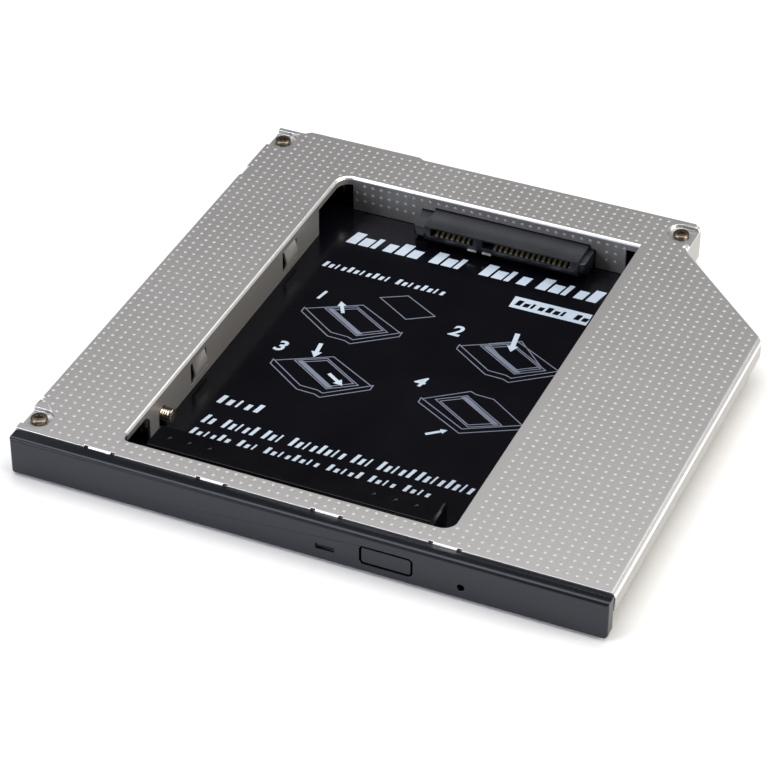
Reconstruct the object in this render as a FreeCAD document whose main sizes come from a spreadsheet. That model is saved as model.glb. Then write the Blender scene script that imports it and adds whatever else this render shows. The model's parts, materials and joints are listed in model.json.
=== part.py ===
import FreeCAD, Part
import os
import Sketcher

# Laptop drive caddy: a tray in the shape of a slim optical drive, which carries a
# 2.5 inch SATA drive in its window. Millimetres, +Z up, +Y to the rear, +X to the right.
# Every piece is drawn from the front left bottom corner of the caddy's outer box, and is
# then placed so that the middle of that box's bottom is the origin.

doc = FreeCAD.newDocument("drive_caddy")
sheet = doc.addObject("Spreadsheet::Sheet", "sizes")

# Driving dimensions: name, millimetres, what it measures
SIZES = (
    ("width", 128.0, "cover across its wing flange and its left edge"),
    ("height", 9.5, "underside of the tray to the tops of the cover screws"),
    ("dot_rise", 0.08, "height of the embossed dots, and of the screw heads, over the cover"),
    ("cover_sheet", 0.6, "thickness of the cover"),
    ("cover_depth", 126.1, "cover from its front edge to its rear edge"),
    ("bend_radius", 1.2, "outer radius of the cover's bends"),
    ("rim_radius", 0.7, "outer radius of the bends round the bay"),
    ("box_width", 102.6, "full-height box, from the left edge to its right wall"),
    ("wing_height", 4.3, "height of the flange on the thin right wing"),
    ("corner_setback", 11.1, "cover's rear edge to the inner end of the cut corner"),
    ("box_flange_foot", 1.6, "foot of the box's rear right flange above the base"),
    ("arm_setback", 0.4, "how far the cover's rear left edge stands forward"),
    ("rear_lip_left", 7.5, "left end of the lip over the host connector"),
    ("rear_lip_width", 27.2, "width of that lip"),
    ("rear_lip_reach", 0.7, "how far it overhangs the rear edge"),
    ("rear_lip_slope", 1.2, "length of its slanted ends"),
    ("bay_left", 21.4, "left edge of the caddy to the bay's left wall"),
    ("bay_right", 9.8, "bay's right edge to the box's right wall"),
    ("bay_rear", 13.3, "bay's rear wall to the cover's rear edge"),
    ("bay_front", 4.9, "cover's front edge to the window"),
    ("bay_corner_rear", 3.0, "corner radius of the bay wall, rear left"),
    ("bay_corner_left", 1.6, "corner radius of the window, front left"),
    ("bay_corner_right", 3.0, "corner radius of the window, front right"),
    ("rim_depth", 1.9, "depth of the turned-down rim around the bay"),
    ("rim_start", 2.4, "window's front edge to the start of the turned-down rim"),
    ("flange_notch", 12.1, "window's front edge to the cut-back front of the left wall"),
    ("flange_notch_height", 3.4, "cover's top to the top of that cut"),
    ("flange_notch_slope", 1.6, "slanted corner at the top of that cut"),
    ("flange_end", 12.7, "rear end of the left wall to the bay's rear wall"),
    ("rear_flange_start", 2.8, "bay's left wall to the start of its rear wall"),
    ("rear_flange_end", 3.1, "end of the bay's rear wall to the window's right edge"),
    ("tongue_first", 34.5, "window's front edge to the middle of the first spring tongue"),
    ("tongue_last", 28.2, "middle of the second spring tongue to the bay's rear wall"),
    ("tongue_width", 5.6, "width of a tongue"),
    ("tongue_slot", 0.9, "slit beside a tongue"),
    ("tongue_drop", 2.0, "cover's top to the root of a tongue"),
    ("tongue_length", 4.6, "root to tip of a tongue"),
    ("tongue_bulge", 0.7, "how far a tongue stands into the bay"),
    ("pad_depth", 0.92, "depth of the pressed pads under the cover screws"),
    ("pad_reach_left", 5.6, "length of the two left pads, in from the edge"),
    ("pad_reach_right", 6.2, "length of the rear right pad"),
    ("pad_width_front", 5.8, "width of the front pad"),
    ("pad_width_rear", 6.6, "width of the rear pads"),
    ("pad_corner", 2.4, "corner radius at the closed end of a pad"),
    ("pad_front", 4.8, "cover's front edge to the middle of the front pad"),
    ("pad_rear", 4.8, "cover's rear edge to the middle of the rear pads"),
    ("screw_inset_left", 2.7, "left edge to a left cover screw"),
    ("screw_inset_right", 3.2, "box's right wall to the right cover screw"),
    ("lip_first", 18.8, "left edge to the middle of the first front lip"),
    ("lip_spacing", 24.8, "distance between front lips"),
    ("lip_count", 4, "number of front lips"),
    ("lip_width", 4.9, "width of a front lip"),
    ("lip_depth", 2.4, "cover's top to the foot of a front lip"),
    ("lip_notch", 1.0, "relief notch beside a front lip"),
    ("edge_notch_depth", 0.55, "depth of the notches in the cover's left edge"),
    ("edge_notch_front", 10.3, "cover's front edge to the front notch"),
    ("edge_notch_width", 1.0, "width of the front notch"),
    ("edge_notch_rear", 22.2, "cover's rear edge to the far end of the rear notch"),
    ("edge_notch_length", 3.7, "length of the rear notch"),
    ("tray_sheet", 0.6, "thickness of the tray"),
    ("shelf_lip", 2.4, "height of the lip that stands up inside the wing flange"),
    ("tray_gap", 0.1, "rear edge of the cover to the tray's rear wall"),
    ("film_thickness", 0.3, "insulating film on the bay floor"),
    ("film_margin", 5.0, "left edge of the caddy to the film"),
    ("film_front", 1.2, "tray's front wall to the film"),
    ("film_gap", 0.1, "film to what stands over it or beside it"),
    ("rail_setback", 0.3, "window's right edge to the rail's wall"),
    ("rail_sheet", 0.6, "thickness of the rail"),
    ("rail_foot", 4.5, "width of the rail's foot and top"),
    ("rail_start", 5.0, "window's front edge to the rail"),
    ("rail_end", 2.9, "rear end of the rail to the bay's rear wall"),
    ("stud_rise", 3.0, "bay floor to the stud's axis, as the drive's side holes"),
    ("stud_from_bay", 17.75, "window's front edge to the stud's axis"),
    ("stud_radius", 1.5, "M3 stud"),
    ("stud_reach", 2.4, "how far the stud stands into the bay"),
    ("stud_head_radius", 2.75, "head of the stud"),
    ("stud_head_height", 1.6, "height of that head"),
    ("stud_tip", 0.35, "chamfer on the stud's end"),
    ("stud_slot_gap", 0.2, "stud to the sides of its slot in the bay wall"),
    ("tab_setback", 3.0, "bay's left wall to the tab that carries the stud"),
    ("tab_width", 8.0, "width of that tab"),
    ("tab_height", 7.2, "height of that tab above the floor"),
    ("bore_gap", 0.05, "play between a threaded shank and its bore"),
    ("bezel_thickness", 3.0, "bezel from front to back"),
    ("bezel_gap", 0.3, "back of the bezel to the cover"),
    ("bezel_inset", 0.2, "end of the bezel inside the cover's side"),
    ("bezel_foot", 0.45, "underside of the bezel above the base"),
    ("bezel_height", 8.75, "height of the bezel"),
    ("bezel_top_radius", 0.8, "rounding of the bezel's top front edge"),
    ("bezel_edge_radius", 0.45, "rounding of its other front edges"),
    ("bezel_end_bevel", 0.35, "bevel at its front ends"),
    ("bezel_corner", 0.7, "cut at its lower corners"),
    ("bezel_skin", 1.6, "wall left in front of the recesses in its back"),
    ("bezel_rim", 1.4, "rim left around those recesses"),
    ("button_right", 40.0, "right edge of the caddy to the button opening"),
    ("button_width", 11.2, "width of the button opening"),
    ("button_foot", 2.3, "base to the button opening"),
    ("button_height", 4.4, "height of the button opening"),
    ("button_corner", 1.0, "corner radius of the opening"),
    ("button_gap", 0.42, "groove around the button"),
    ("button_inset", 0.1, "button's face behind the bezel's face"),
    ("button_flange", 0.8, "collar behind the bezel, beyond the ends of the opening"),
    ("button_ledge", 0.2, "the same collar above and below the opening"),
    ("button_plate", 0.5, "thickness of the collar and its spring arms"),
    ("button_arm", 4.6, "length of a spring arm"),
    ("button_arm_height", 1.8, "height of a spring arm"),
    ("button_well", 1.6, "room around the collar and arms"),
    ("button_float", 0.12, "collar to the back of the bezel's wall"),
    ("lamp_gap", 5.3, "indicator recess to the button opening"),
    ("lamp_foot", 3.05, "base to the indicator recess"),
    ("lamp_width", 4.0, "width of the indicator recess"),
    ("lamp_height", 1.3, "height of the indicator recess"),
    ("lamp_depth", 0.6, "depth of the indicator recess"),
    ("pinhole_gap", 10.0, "button opening to the axis of the emergency pinhole"),
    ("pinhole_rise", 3.2, "base to the pinhole's axis"),
    ("pinhole_radius", 0.75, "pinhole"),
    ("hook_width", 5.0, "width of a bezel hook"),
    ("hook_thickness", 1.0, "thickness of a bezel hook"),
    ("hook_rise", 6.9, "base to the underside of a hook"),
    ("hook_barb", 0.6, "barb under a hook"),
    ("hook_gap", 0.25, "room around a hook in the tray's front wall"),
    ("hook_first", 9.0, "left edge of the caddy to the first hook"),
    ("hook_second", 56.0, "left edge of the caddy to the second hook"),
    ("hook_third", 11.0, "right edge of the caddy to the third hook"),
    ("stop_side_gap", 4.4, "end of the stop bar to the side of the bay"),
    ("stop_front", 1.2, "tray's front wall to the stop bar"),
    ("stop_depth", 10.7, "stop bar from front to rear"),
    ("stop_float", 0.3, "film to the stop bar's underside"),
    ("stop_top", 0.45, "cover's top down to the stop bar's top"),
    ("stop_ledge", 3.9, "depth of the lower ledge at the bar's front"),
    ("stop_ledge_gap", 0.25, "cover's underside to that ledge"),
    ("stop_chamfer", 0.8, "bevel at the top of the bar's ends"),
    ("stop_wall", 1.4, "walls and ribs of the hollow bar"),
    ("stop_roof", 1.5, "roof of the hollow bar"),
    ("stop_cells", 5, "hollows under the bar"),
    ("board_thickness", 1.0, "circuit board"),
    ("board_rise", 1.0, "tray's floor to the board"),
    ("board_left", 6.4, "left edge of the caddy to the board"),
    ("board_right", 11.2, "board's right end to the box's right wall"),
    ("board_gap", 0.7, "bay's rear wall to the board"),
    ("board_rear_gap", 0.5, "board to the tray's rear wall"),
    ("board_screw_gap", 4.0, "host connector to the left board screw"),
    ("board_screw_margin", 3.8, "board's right end to the right board screw"),
    ("board_screw_rear", 3.0, "board's rear edge to its screws"),
    ("spacer_radius", 2.2, "spacers under the board"),
    ("drive_plug_margin", 11.6, "drive connector's housing to the bay's right edge"),
    ("drive_plug_width", 36.6, "width of that housing"),
    ("drive_plug_reach", 7.5, "bay's rear wall to the housing's mouth"),
    ("drive_plug_back", 4.0, "board's front edge to the back of the housing"),
    ("drive_plug_top", 6.35, "base to the top of the housing"),
    ("drive_plug_foot", 1.5, "base to the underside of the housing"),
    ("drive_plug_roof", 0.35, "wall over the mouths"),
    ("mouth_height", 1.9, "height of the mouths"),
    ("mouth_depth", 5.4, "depth of the mouths"),
    ("mouth_lip", 1.0, "lip under the mouths"),
    ("mouth_undercut", 1.8, "how far the housing stands back under that lip"),
    ("signal_mouth_left", 1.6, "housing's left end to the signal mouth"),
    ("signal_mouth_width", 10.3, "width of the signal mouth"),
    ("mouth_key", 2.1, "wall between the two mouths"),
    ("power_mouth_width", 21.0, "width of the power mouth"),
    ("guide_left", 3.2, "width of the left guide arm"),
    ("guide_right", 1.3, "width of the right guide arm"),
    ("guide_drop", 0.95, "housing's top to the top of a guide arm"),
    ("guide_setback", 1.0, "mouth to the front of a guide arm"),
    ("guide_corner", 1.2, "rounding of a guide arm's outer corner"),
    ("flange_cut_gap", 0.25, "room around the connector in the bay's rear wall"),
    ("contact_spacing", 1.27, "pitch of the contacts"),
    ("contact_width", 0.6, "width of a contact"),
    ("contact_sheet", 0.25, "thickness of a contact"),
    ("contact_hump", 0.75, "rise of the sprung hump of a contact"),
    ("contact_foot", 1.2, "soldered foot of a contact"),
    ("signal_contact_count", 7, "signal contacts of the drive connector"),
    ("power_contact_count", 15, "power contacts of the drive connector"),
    ("signal_contact_first", 1.3, "signal mouth's left end to the middle of its first contact"),
    ("power_contact_first", 2.85, "power mouth's left end to the middle of its first contact"),
    ("host_plug_inset", 0.3, "end of the rear lip to the host connector's housing"),
    ("host_plug_height", 3.9, "height of that housing over the board"),
    ("host_plug_depth", 9.4, "depth of that housing"),
    ("host_plug_shy", 0.1, "rear lip's edge to the housing's rear face"),
    ("host_plug_wall", 0.6, "walls of the housing's mouth"),
    ("host_mouth_depth", 5.6, "depth of that mouth"),
    ("host_blade_thickness", 1.2, "blade inside that mouth"),
    ("host_blade_shy", 0.6, "mouth to the tip of the blade"),
    ("host_blade_margin", 1.5, "room at the ends of the blade"),
    ("host_blade_key", 1.1, "upright key at the end of the blade"),
    ("host_signal_count", 7, "signal contacts of the host connector"),
    ("host_power_count", 6, "power contacts of the host connector"),
    ("host_signal_first", 2.6, "blade's left end to the middle of its first contact"),
    ("host_power_first", 13.6, "blade's left end to the middle of its first power contact"),
    ("host_opening_gap", 0.25, "room around the host connector in the tray's rear wall"),
    ("chip_length", 2.0, "chip capacitor"),
    ("chip_depth", 1.25, "chip capacitor"),
    ("chip_height", 1.2, "chip capacitor"),
    ("chip_margin", 8.0, "board screws to the row of capacitors"),
    ("chip_count", 5, "number of capacitors"),
    ("chip_rear", 3.6, "board's rear edge to the capacitors"),
    ("screw_head_radius", 1.8, "pan head of a cover or board screw"),
    ("screw_head_height", 1.0, "height of that head"),
    ("screw_crown", 0.4, "bevel of that head"),
    ("screw_shank_radius", 1.0, "M2 shank"),
    ("cover_screw_length", 4.0, "shank of a cover screw"),
    ("board_screw_length", 1.9, "shank of a board screw"),
    ("screw_hole_gap", 0.1, "play around a screw where it passes a sheet"),
    ("pillar_radius", 1.9, "pillars that take the cover screws"),
    ("pillar_bore_spare", 0.5, "pillar's bore beyond the end of the screw"),
    ("bracket_hole_right", 12.6, "box's right wall to the outer bracket hole"),
    ("bracket_hole_spacing", 12.0, "distance between the two bracket holes"),
    ("bracket_hole_rise", 4.7, "base to the bracket holes"),
    ("bracket_hole_radius", 0.8, "tapping radius for M2"),
    ("bracket_boss_radius", 1.7, "collar pressed in around a bracket hole"),
    ("bracket_boss_length", 1.2, "depth of that collar"),
)

for row, (alias, value, note) in enumerate(SIZES, start=1):
    sheet.set(f"A{row}", note)
    sheet.set(f"B{row}", str(value))
    sheet.setAlias(f"B{row}", alias)
doc.recompute()


class Size:
    """A length, with the formula that works it out from the sheet."""

    def __init__(self, value, formula):
        self.value = value
        self.formula = formula

    def __add__(self, other):
        other = size(other)
        return Size(self.value + other.value, f"({self.formula} + {other.formula})")

    def __sub__(self, other):
        other = size(other)
        return Size(self.value - other.value, f"({self.formula} - {other.formula})")

    def __mul__(self, other):
        other = size(other)
        return Size(self.value * other.value, f"({self.formula} * {other.formula})")

    def __truediv__(self, other):
        other = size(other)
        return Size(self.value / other.value, f"({self.formula} / {other.formula})")

    def __neg__(self):
        return Size(-self.value, f"(0 - {self.formula})")


def size(number):
    """Take a plain number as a size."""
    if isinstance(number, Size):
        return number
    return Size(float(number), f"{float(number):.4f}")


class Caddy:
    """The sheet's sizes, by name."""


caddy = Caddy()
for alias, value, note in SIZES:
    setattr(caddy, alias, Size(value, f"sizes.{alias}"))


def bind(thing, path, length):
    """Tie a property of an object to the sheet."""
    thing.setExpression(path, size(length).formula)


# Planes that sketches lie on. A sketch at a level looks from the low side to the high side,
# so pads and pockets both run towards +X, +Y or +Z.
PLANES = {"side": "YZ_Plane", "front": "XZ_Plane", "top": "XY_Plane"}


def origin_feature(body, role):
    """A plane or an axis of the body's own origin."""
    for feature in body.Origin.OriginFeatures:
        if feature.Role == role:
            return feature
    raise ValueError(role)


def new_body(label):
    """An empty body for one piece of sheet or moulding."""
    body = doc.addObject("PartDesign::Body", label)
    body.Label = label
    return body


def new_sketch(body, name, plane, level, centre=(0, 0)):
    """A sketch on one of the body's planes, moved to a level and to its own zero point."""
    sketch = body.newObject("Sketcher::SketchObject", name)
    sketch.AttachmentSupport = [(origin_feature(body, PLANES[plane]), "")]
    sketch.MapMode = "FlatFace"
    bind(sketch, "AttachmentOffset.Base.x", centre[0])
    bind(sketch, "AttachmentOffset.Base.y", centre[1])
    if plane == "front":
        bind(sketch, "AttachmentOffset.Base.z", -size(level))
    else:
        bind(sketch, "AttachmentOffset.Base.z", level)
    return sketch


def place_point(sketch, edge, end, point):
    """Hold one end of an edge, or a centre, at its place in the sketch."""
    for kind, length in (("DistanceX", point[0]), ("DistanceY", point[1])):
        number = sketch.addConstraint(Sketcher.Constraint(kind, -1, 1, edge, end, length.value))
        bind(sketch, f"Constraints[{number}]", length)


def step_towards(start, target, length):
    """A point the given length away from start, straight towards target."""
    run = FreeCAD.Vector(target[0].value - start[0].value, target[1].value - start[1].value, 0)
    return FreeCAD.Vector(start[0].value, start[1].value, 0) + run.normalize() * length


def draw_outline(sketch, corners):
    """A closed outline of straight lines. A corner's third number rounds it."""
    corners = [tuple(size(number) for number in corner) for corner in corners]
    count = len(corners)
    first_edge = sketch.GeometryCount
    starts = []
    ends = []
    for index, corner in enumerate(corners):
        if len(corner) == 2:
            here = FreeCAD.Vector(corner[0].value, corner[1].value, 0)
            starts.append(here)
            ends.append(here)
        else:
            ends.append(step_towards(corner, corners[index - 1], corner[2].value))
            starts.append(step_towards(corner, corners[(index + 1) % count], corner[2].value))
    for index in range(count):
        sketch.addGeometry(Part.LineSegment(starts[index], ends[(index + 1) % count]), False)
    for index, corner in enumerate(corners):
        edge_in = first_edge + (index - 1) % count
        edge_out = first_edge + index
        if len(corner) == 2:
            sketch.addConstraint(Sketcher.Constraint("Coincident", edge_in, 2, edge_out, 1))
            place_point(sketch, edge_out, 1, corner)
        else:
            round_corner(sketch, corner, ends[index], starts[index], edge_in, edge_out)


def round_corner(sketch, corner, arrive, leave, edge_in, edge_out):
    """Join two lines that meet squarely by an arc."""
    radius = corner[2]
    side_x = 1 if arrive.x + leave.x > 2 * corner[0].value else -1
    side_y = 1 if arrive.y + leave.y > 2 * corner[1].value else -1
    centre = (corner[0] + radius * side_x, corner[1] + radius * side_y)
    middle = FreeCAD.Vector(centre[0].value, centre[1].value, 0)
    turn = (arrive - middle).cross(leave - middle).z
    across = (FreeCAD.Vector(corner[0].value, corner[1].value, 0) - middle).normalize()
    arc = sketch.addGeometry(Part.Arc(arrive, middle + across * radius.value, leave), False)
    first, last = (1, 2) if turn > 0 else (2, 1)
    sketch.addConstraint(Sketcher.Constraint("Tangent", edge_in, 2, arc, first))
    sketch.addConstraint(Sketcher.Constraint("Tangent", edge_out, 1, arc, last))
    number = sketch.addConstraint(Sketcher.Constraint("Radius", arc, radius.value))
    bind(sketch, f"Constraints[{number}]", radius)
    place_point(sketch, arc, 3, centre)


def draw_box(sketch, low, high, radius=None):
    """A rectangle between two corners, rounded if a radius is given."""
    corners = [(low[0], low[1]), (high[0], low[1]), (high[0], high[1]), (low[0], high[1])]
    if radius is not None:
        corners = [corner + (radius,) for corner in corners]
    draw_outline(sketch, corners)


def draw_circle(sketch, centre, radius):
    """A circle held by its centre and radius."""
    centre = (size(centre[0]), size(centre[1]))
    middle = FreeCAD.Vector(centre[0].value, centre[1].value, 0)
    circle = Part.Circle(middle, FreeCAD.Vector(0, 0, 1), size(radius).value)
    edge = sketch.addGeometry(circle, False)
    number = sketch.addConstraint(Sketcher.Constraint("Radius", edge, size(radius).value))
    bind(sketch, f"Constraints[{number}]", radius)
    place_point(sketch, edge, 3, centre)


def pad(body, sketch, length):
    """Raise a sketch towards the high side."""
    feature = body.newObject("PartDesign::Pad", sketch.Name + "_pad")
    feature.Profile = sketch
    feature.Reversed = sketch.AttachmentSupport[0][0].Role == PLANES["front"]
    bind(feature, "Length", length)
    body.Tip = feature
    return feature


def pocket(body, sketch, length):
    """Cut a sketch away towards the high side."""
    feature = body.newObject("PartDesign::Pocket", sketch.Name + "_pocket")
    feature.Profile = sketch
    feature.Reversed = sketch.AttachmentSupport[0][0].Role != PLANES["front"]
    bind(feature, "Length", length)
    body.Tip = feature
    return feature


def revolve(body, sketch, axis, angle):
    """Turn a sketch about one of its own axes."""
    feature = body.newObject("PartDesign::Revolution", sketch.Name + "_turn")
    feature.Profile = sketch
    feature.ReferenceAxis = (sketch, [axis])
    feature.Angle = angle
    body.Tip = feature
    return feature


def repeat(body, features, axis, count, spacing):
    """Repeat features in a row along an axis."""
    feature = body.newObject("PartDesign::LinearPattern", features[-1].Name + "_row")
    feature.Originals = features
    feature.Direction = (origin_feature(body, axis), [""])
    bind(feature, "Length", spacing * (size(count) - 1))
    bind(feature, "Occurrences", count)
    body.Tip = feature
    return feature


parts = []


def finish(thing, label):
    """Name a sub-part and place it in the part's own frame."""
    thing.Label = label
    bind(thing, "Placement.Base.x", -caddy.width / 2)
    bind(thing, "Placement.Base.y", -overall_depth / 2)
    parts.append(thing)


# Levels and planes that several pieces share
sheet_thickness = caddy.cover_sheet
cover_top = caddy.height - caddy.dot_rise
cover_under = cover_top - sheet_thickness
cover_front = caddy.bezel_thickness + caddy.bezel_gap
cover_rear = cover_front + caddy.cover_depth
overall_depth = cover_rear + caddy.rear_lip_reach
window_front = cover_front + caddy.bay_front
window_rear = cover_rear - caddy.bay_rear
window_right = caddy.box_width - caddy.bay_right
wing_foot = cover_top - caddy.wing_height
wing_inner = caddy.width - sheet_thickness
corner_sum = cover_rear - caddy.corner_setback + caddy.box_width
wing_rear = corner_sum - caddy.width
floor_top = caddy.tray_sheet
film_top = floor_top + caddy.film_thickness
flange_foot = film_top + caddy.film_gap
tray_front = cover_front + sheet_thickness
tray_rear = cover_rear - caddy.arm_setback - caddy.tray_gap
tray_right = caddy.box_width - sheet_thickness
pad_top = cover_top - caddy.pad_depth
pad_under = pad_top - sheet_thickness
pad_front_middle = cover_front + caddy.pad_front
pad_rear_middle = cover_rear - caddy.pad_rear
screw_right = caddy.box_width - caddy.screw_inset_right
stud_across = window_front + caddy.stud_from_bay
stud_axis = film_top + caddy.stud_rise
tab_right = caddy.bay_left - caddy.tab_setback
board_low = floor_top + caddy.board_rise
board_top = board_low + caddy.board_thickness
board_front = window_rear + sheet_thickness + caddy.board_gap
board_rear = tray_rear - caddy.tray_sheet - caddy.board_rear_gap
board_right = caddy.box_width - caddy.board_right
board_screw_line = board_rear - caddy.board_screw_rear
drive_plug_front = window_rear - caddy.drive_plug_reach
drive_plug_rear = board_front + caddy.drive_plug_back
drive_plug_right = window_right - caddy.drive_plug_margin
drive_plug_left = drive_plug_right - caddy.drive_plug_width
mouth_top = caddy.drive_plug_top - caddy.drive_plug_roof
mouth_floor = mouth_top - caddy.mouth_height
signal_mouth = drive_plug_left + caddy.signal_mouth_left
power_mouth = signal_mouth + caddy.signal_mouth_width + caddy.mouth_key
guide_top = caddy.drive_plug_top - caddy.guide_drop
board_screw_right = board_right - caddy.board_screw_margin
host_plug_left = caddy.rear_lip_left + caddy.host_plug_inset
host_plug_width = caddy.rear_lip_width - caddy.host_plug_inset * 2
host_plug_rear = overall_depth - caddy.host_plug_shy
board_screw_left = host_plug_left + host_plug_width + caddy.board_screw_gap
host_plug_front = host_plug_rear - caddy.host_plug_depth
host_plug_top = board_top + caddy.host_plug_height
host_blade_low = board_top + caddy.host_plug_height / 2 - caddy.host_blade_thickness / 2
host_blade_top = host_blade_low + caddy.host_blade_thickness
host_blade_left = host_plug_left + caddy.host_plug_wall + caddy.host_blade_margin

SCREW_PADS = (
    ("front_left", caddy.screw_inset_left, pad_front_middle),
    ("rear_left", caddy.screw_inset_left, pad_rear_middle),
    ("rear_right", screw_right, pad_rear_middle),
)
HOOKS = (caddy.hook_first, caddy.hook_second, caddy.width - caddy.hook_third)
button_right = caddy.width - caddy.button_right
button_left = button_right - caddy.button_width
lamp_right = button_left - caddy.lamp_gap
pinhole_across = button_right + caddy.pinhole_gap


def draw_bend(sketch, edge, side, foot, radius):
    """A sheet that runs flat, turns down over a bend and ends at its foot.

    The turned-down leg's outer face is at edge; side is 1 if the flat part lies at
    lower values, and -1 if it lies at higher ones.
    """
    flat = edge - (radius + sheet_thickness) * side
    inner = edge - sheet_thickness * side
    draw_outline(sketch, [
        (flat, cover_top),
        (edge, cover_top, radius),
        (edge, foot),
        (inner, foot),
        (inner, cover_under, radius - sheet_thickness),
        (flat, cover_under),
    ])


def cut_tongues(body, wall, outer, plane_level, thickness, bulge):
    """Lance two spring tongues in an upright wall and bend them out into the bay."""
    middle = window_front + caddy.tongue_first
    root = cover_top - caddy.tongue_drop
    tip = root - caddy.tongue_length
    half = caddy.tongue_width / 2
    spacing = window_rear - caddy.tongue_last - middle
    opening = new_sketch(body, wall + "_slits", "side", plane_level)
    draw_box(opening, (middle - half - caddy.tongue_slot, tip - caddy.tongue_slot / 2),
             (middle + half + caddy.tongue_slot, root))
    openings = pocket(body, opening, thickness)
    repeat(body, [openings], "Y_Axis", 2, spacing)
    profile = new_sketch(body, wall + "_tongue", "front", middle - half)
    crest = root - caddy.tongue_length * 0.6
    inner = outer - bulge / bulge.value * thickness * (1 if bulge.value > 0 else -1)
    draw_outline(profile, [
        (inner, root + thickness),
        (outer, root + thickness),
        (outer, root),
        (outer + bulge, crest),
        (outer + bulge * 0.5, tip),
        (inner + bulge * 0.5, tip),
        (inner + bulge, crest),
        (inner, root),
    ])
    tongue = pad(body, profile, caddy.tongue_width)
    repeat(body, [tongue], "Y_Axis", 2, spacing)


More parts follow.
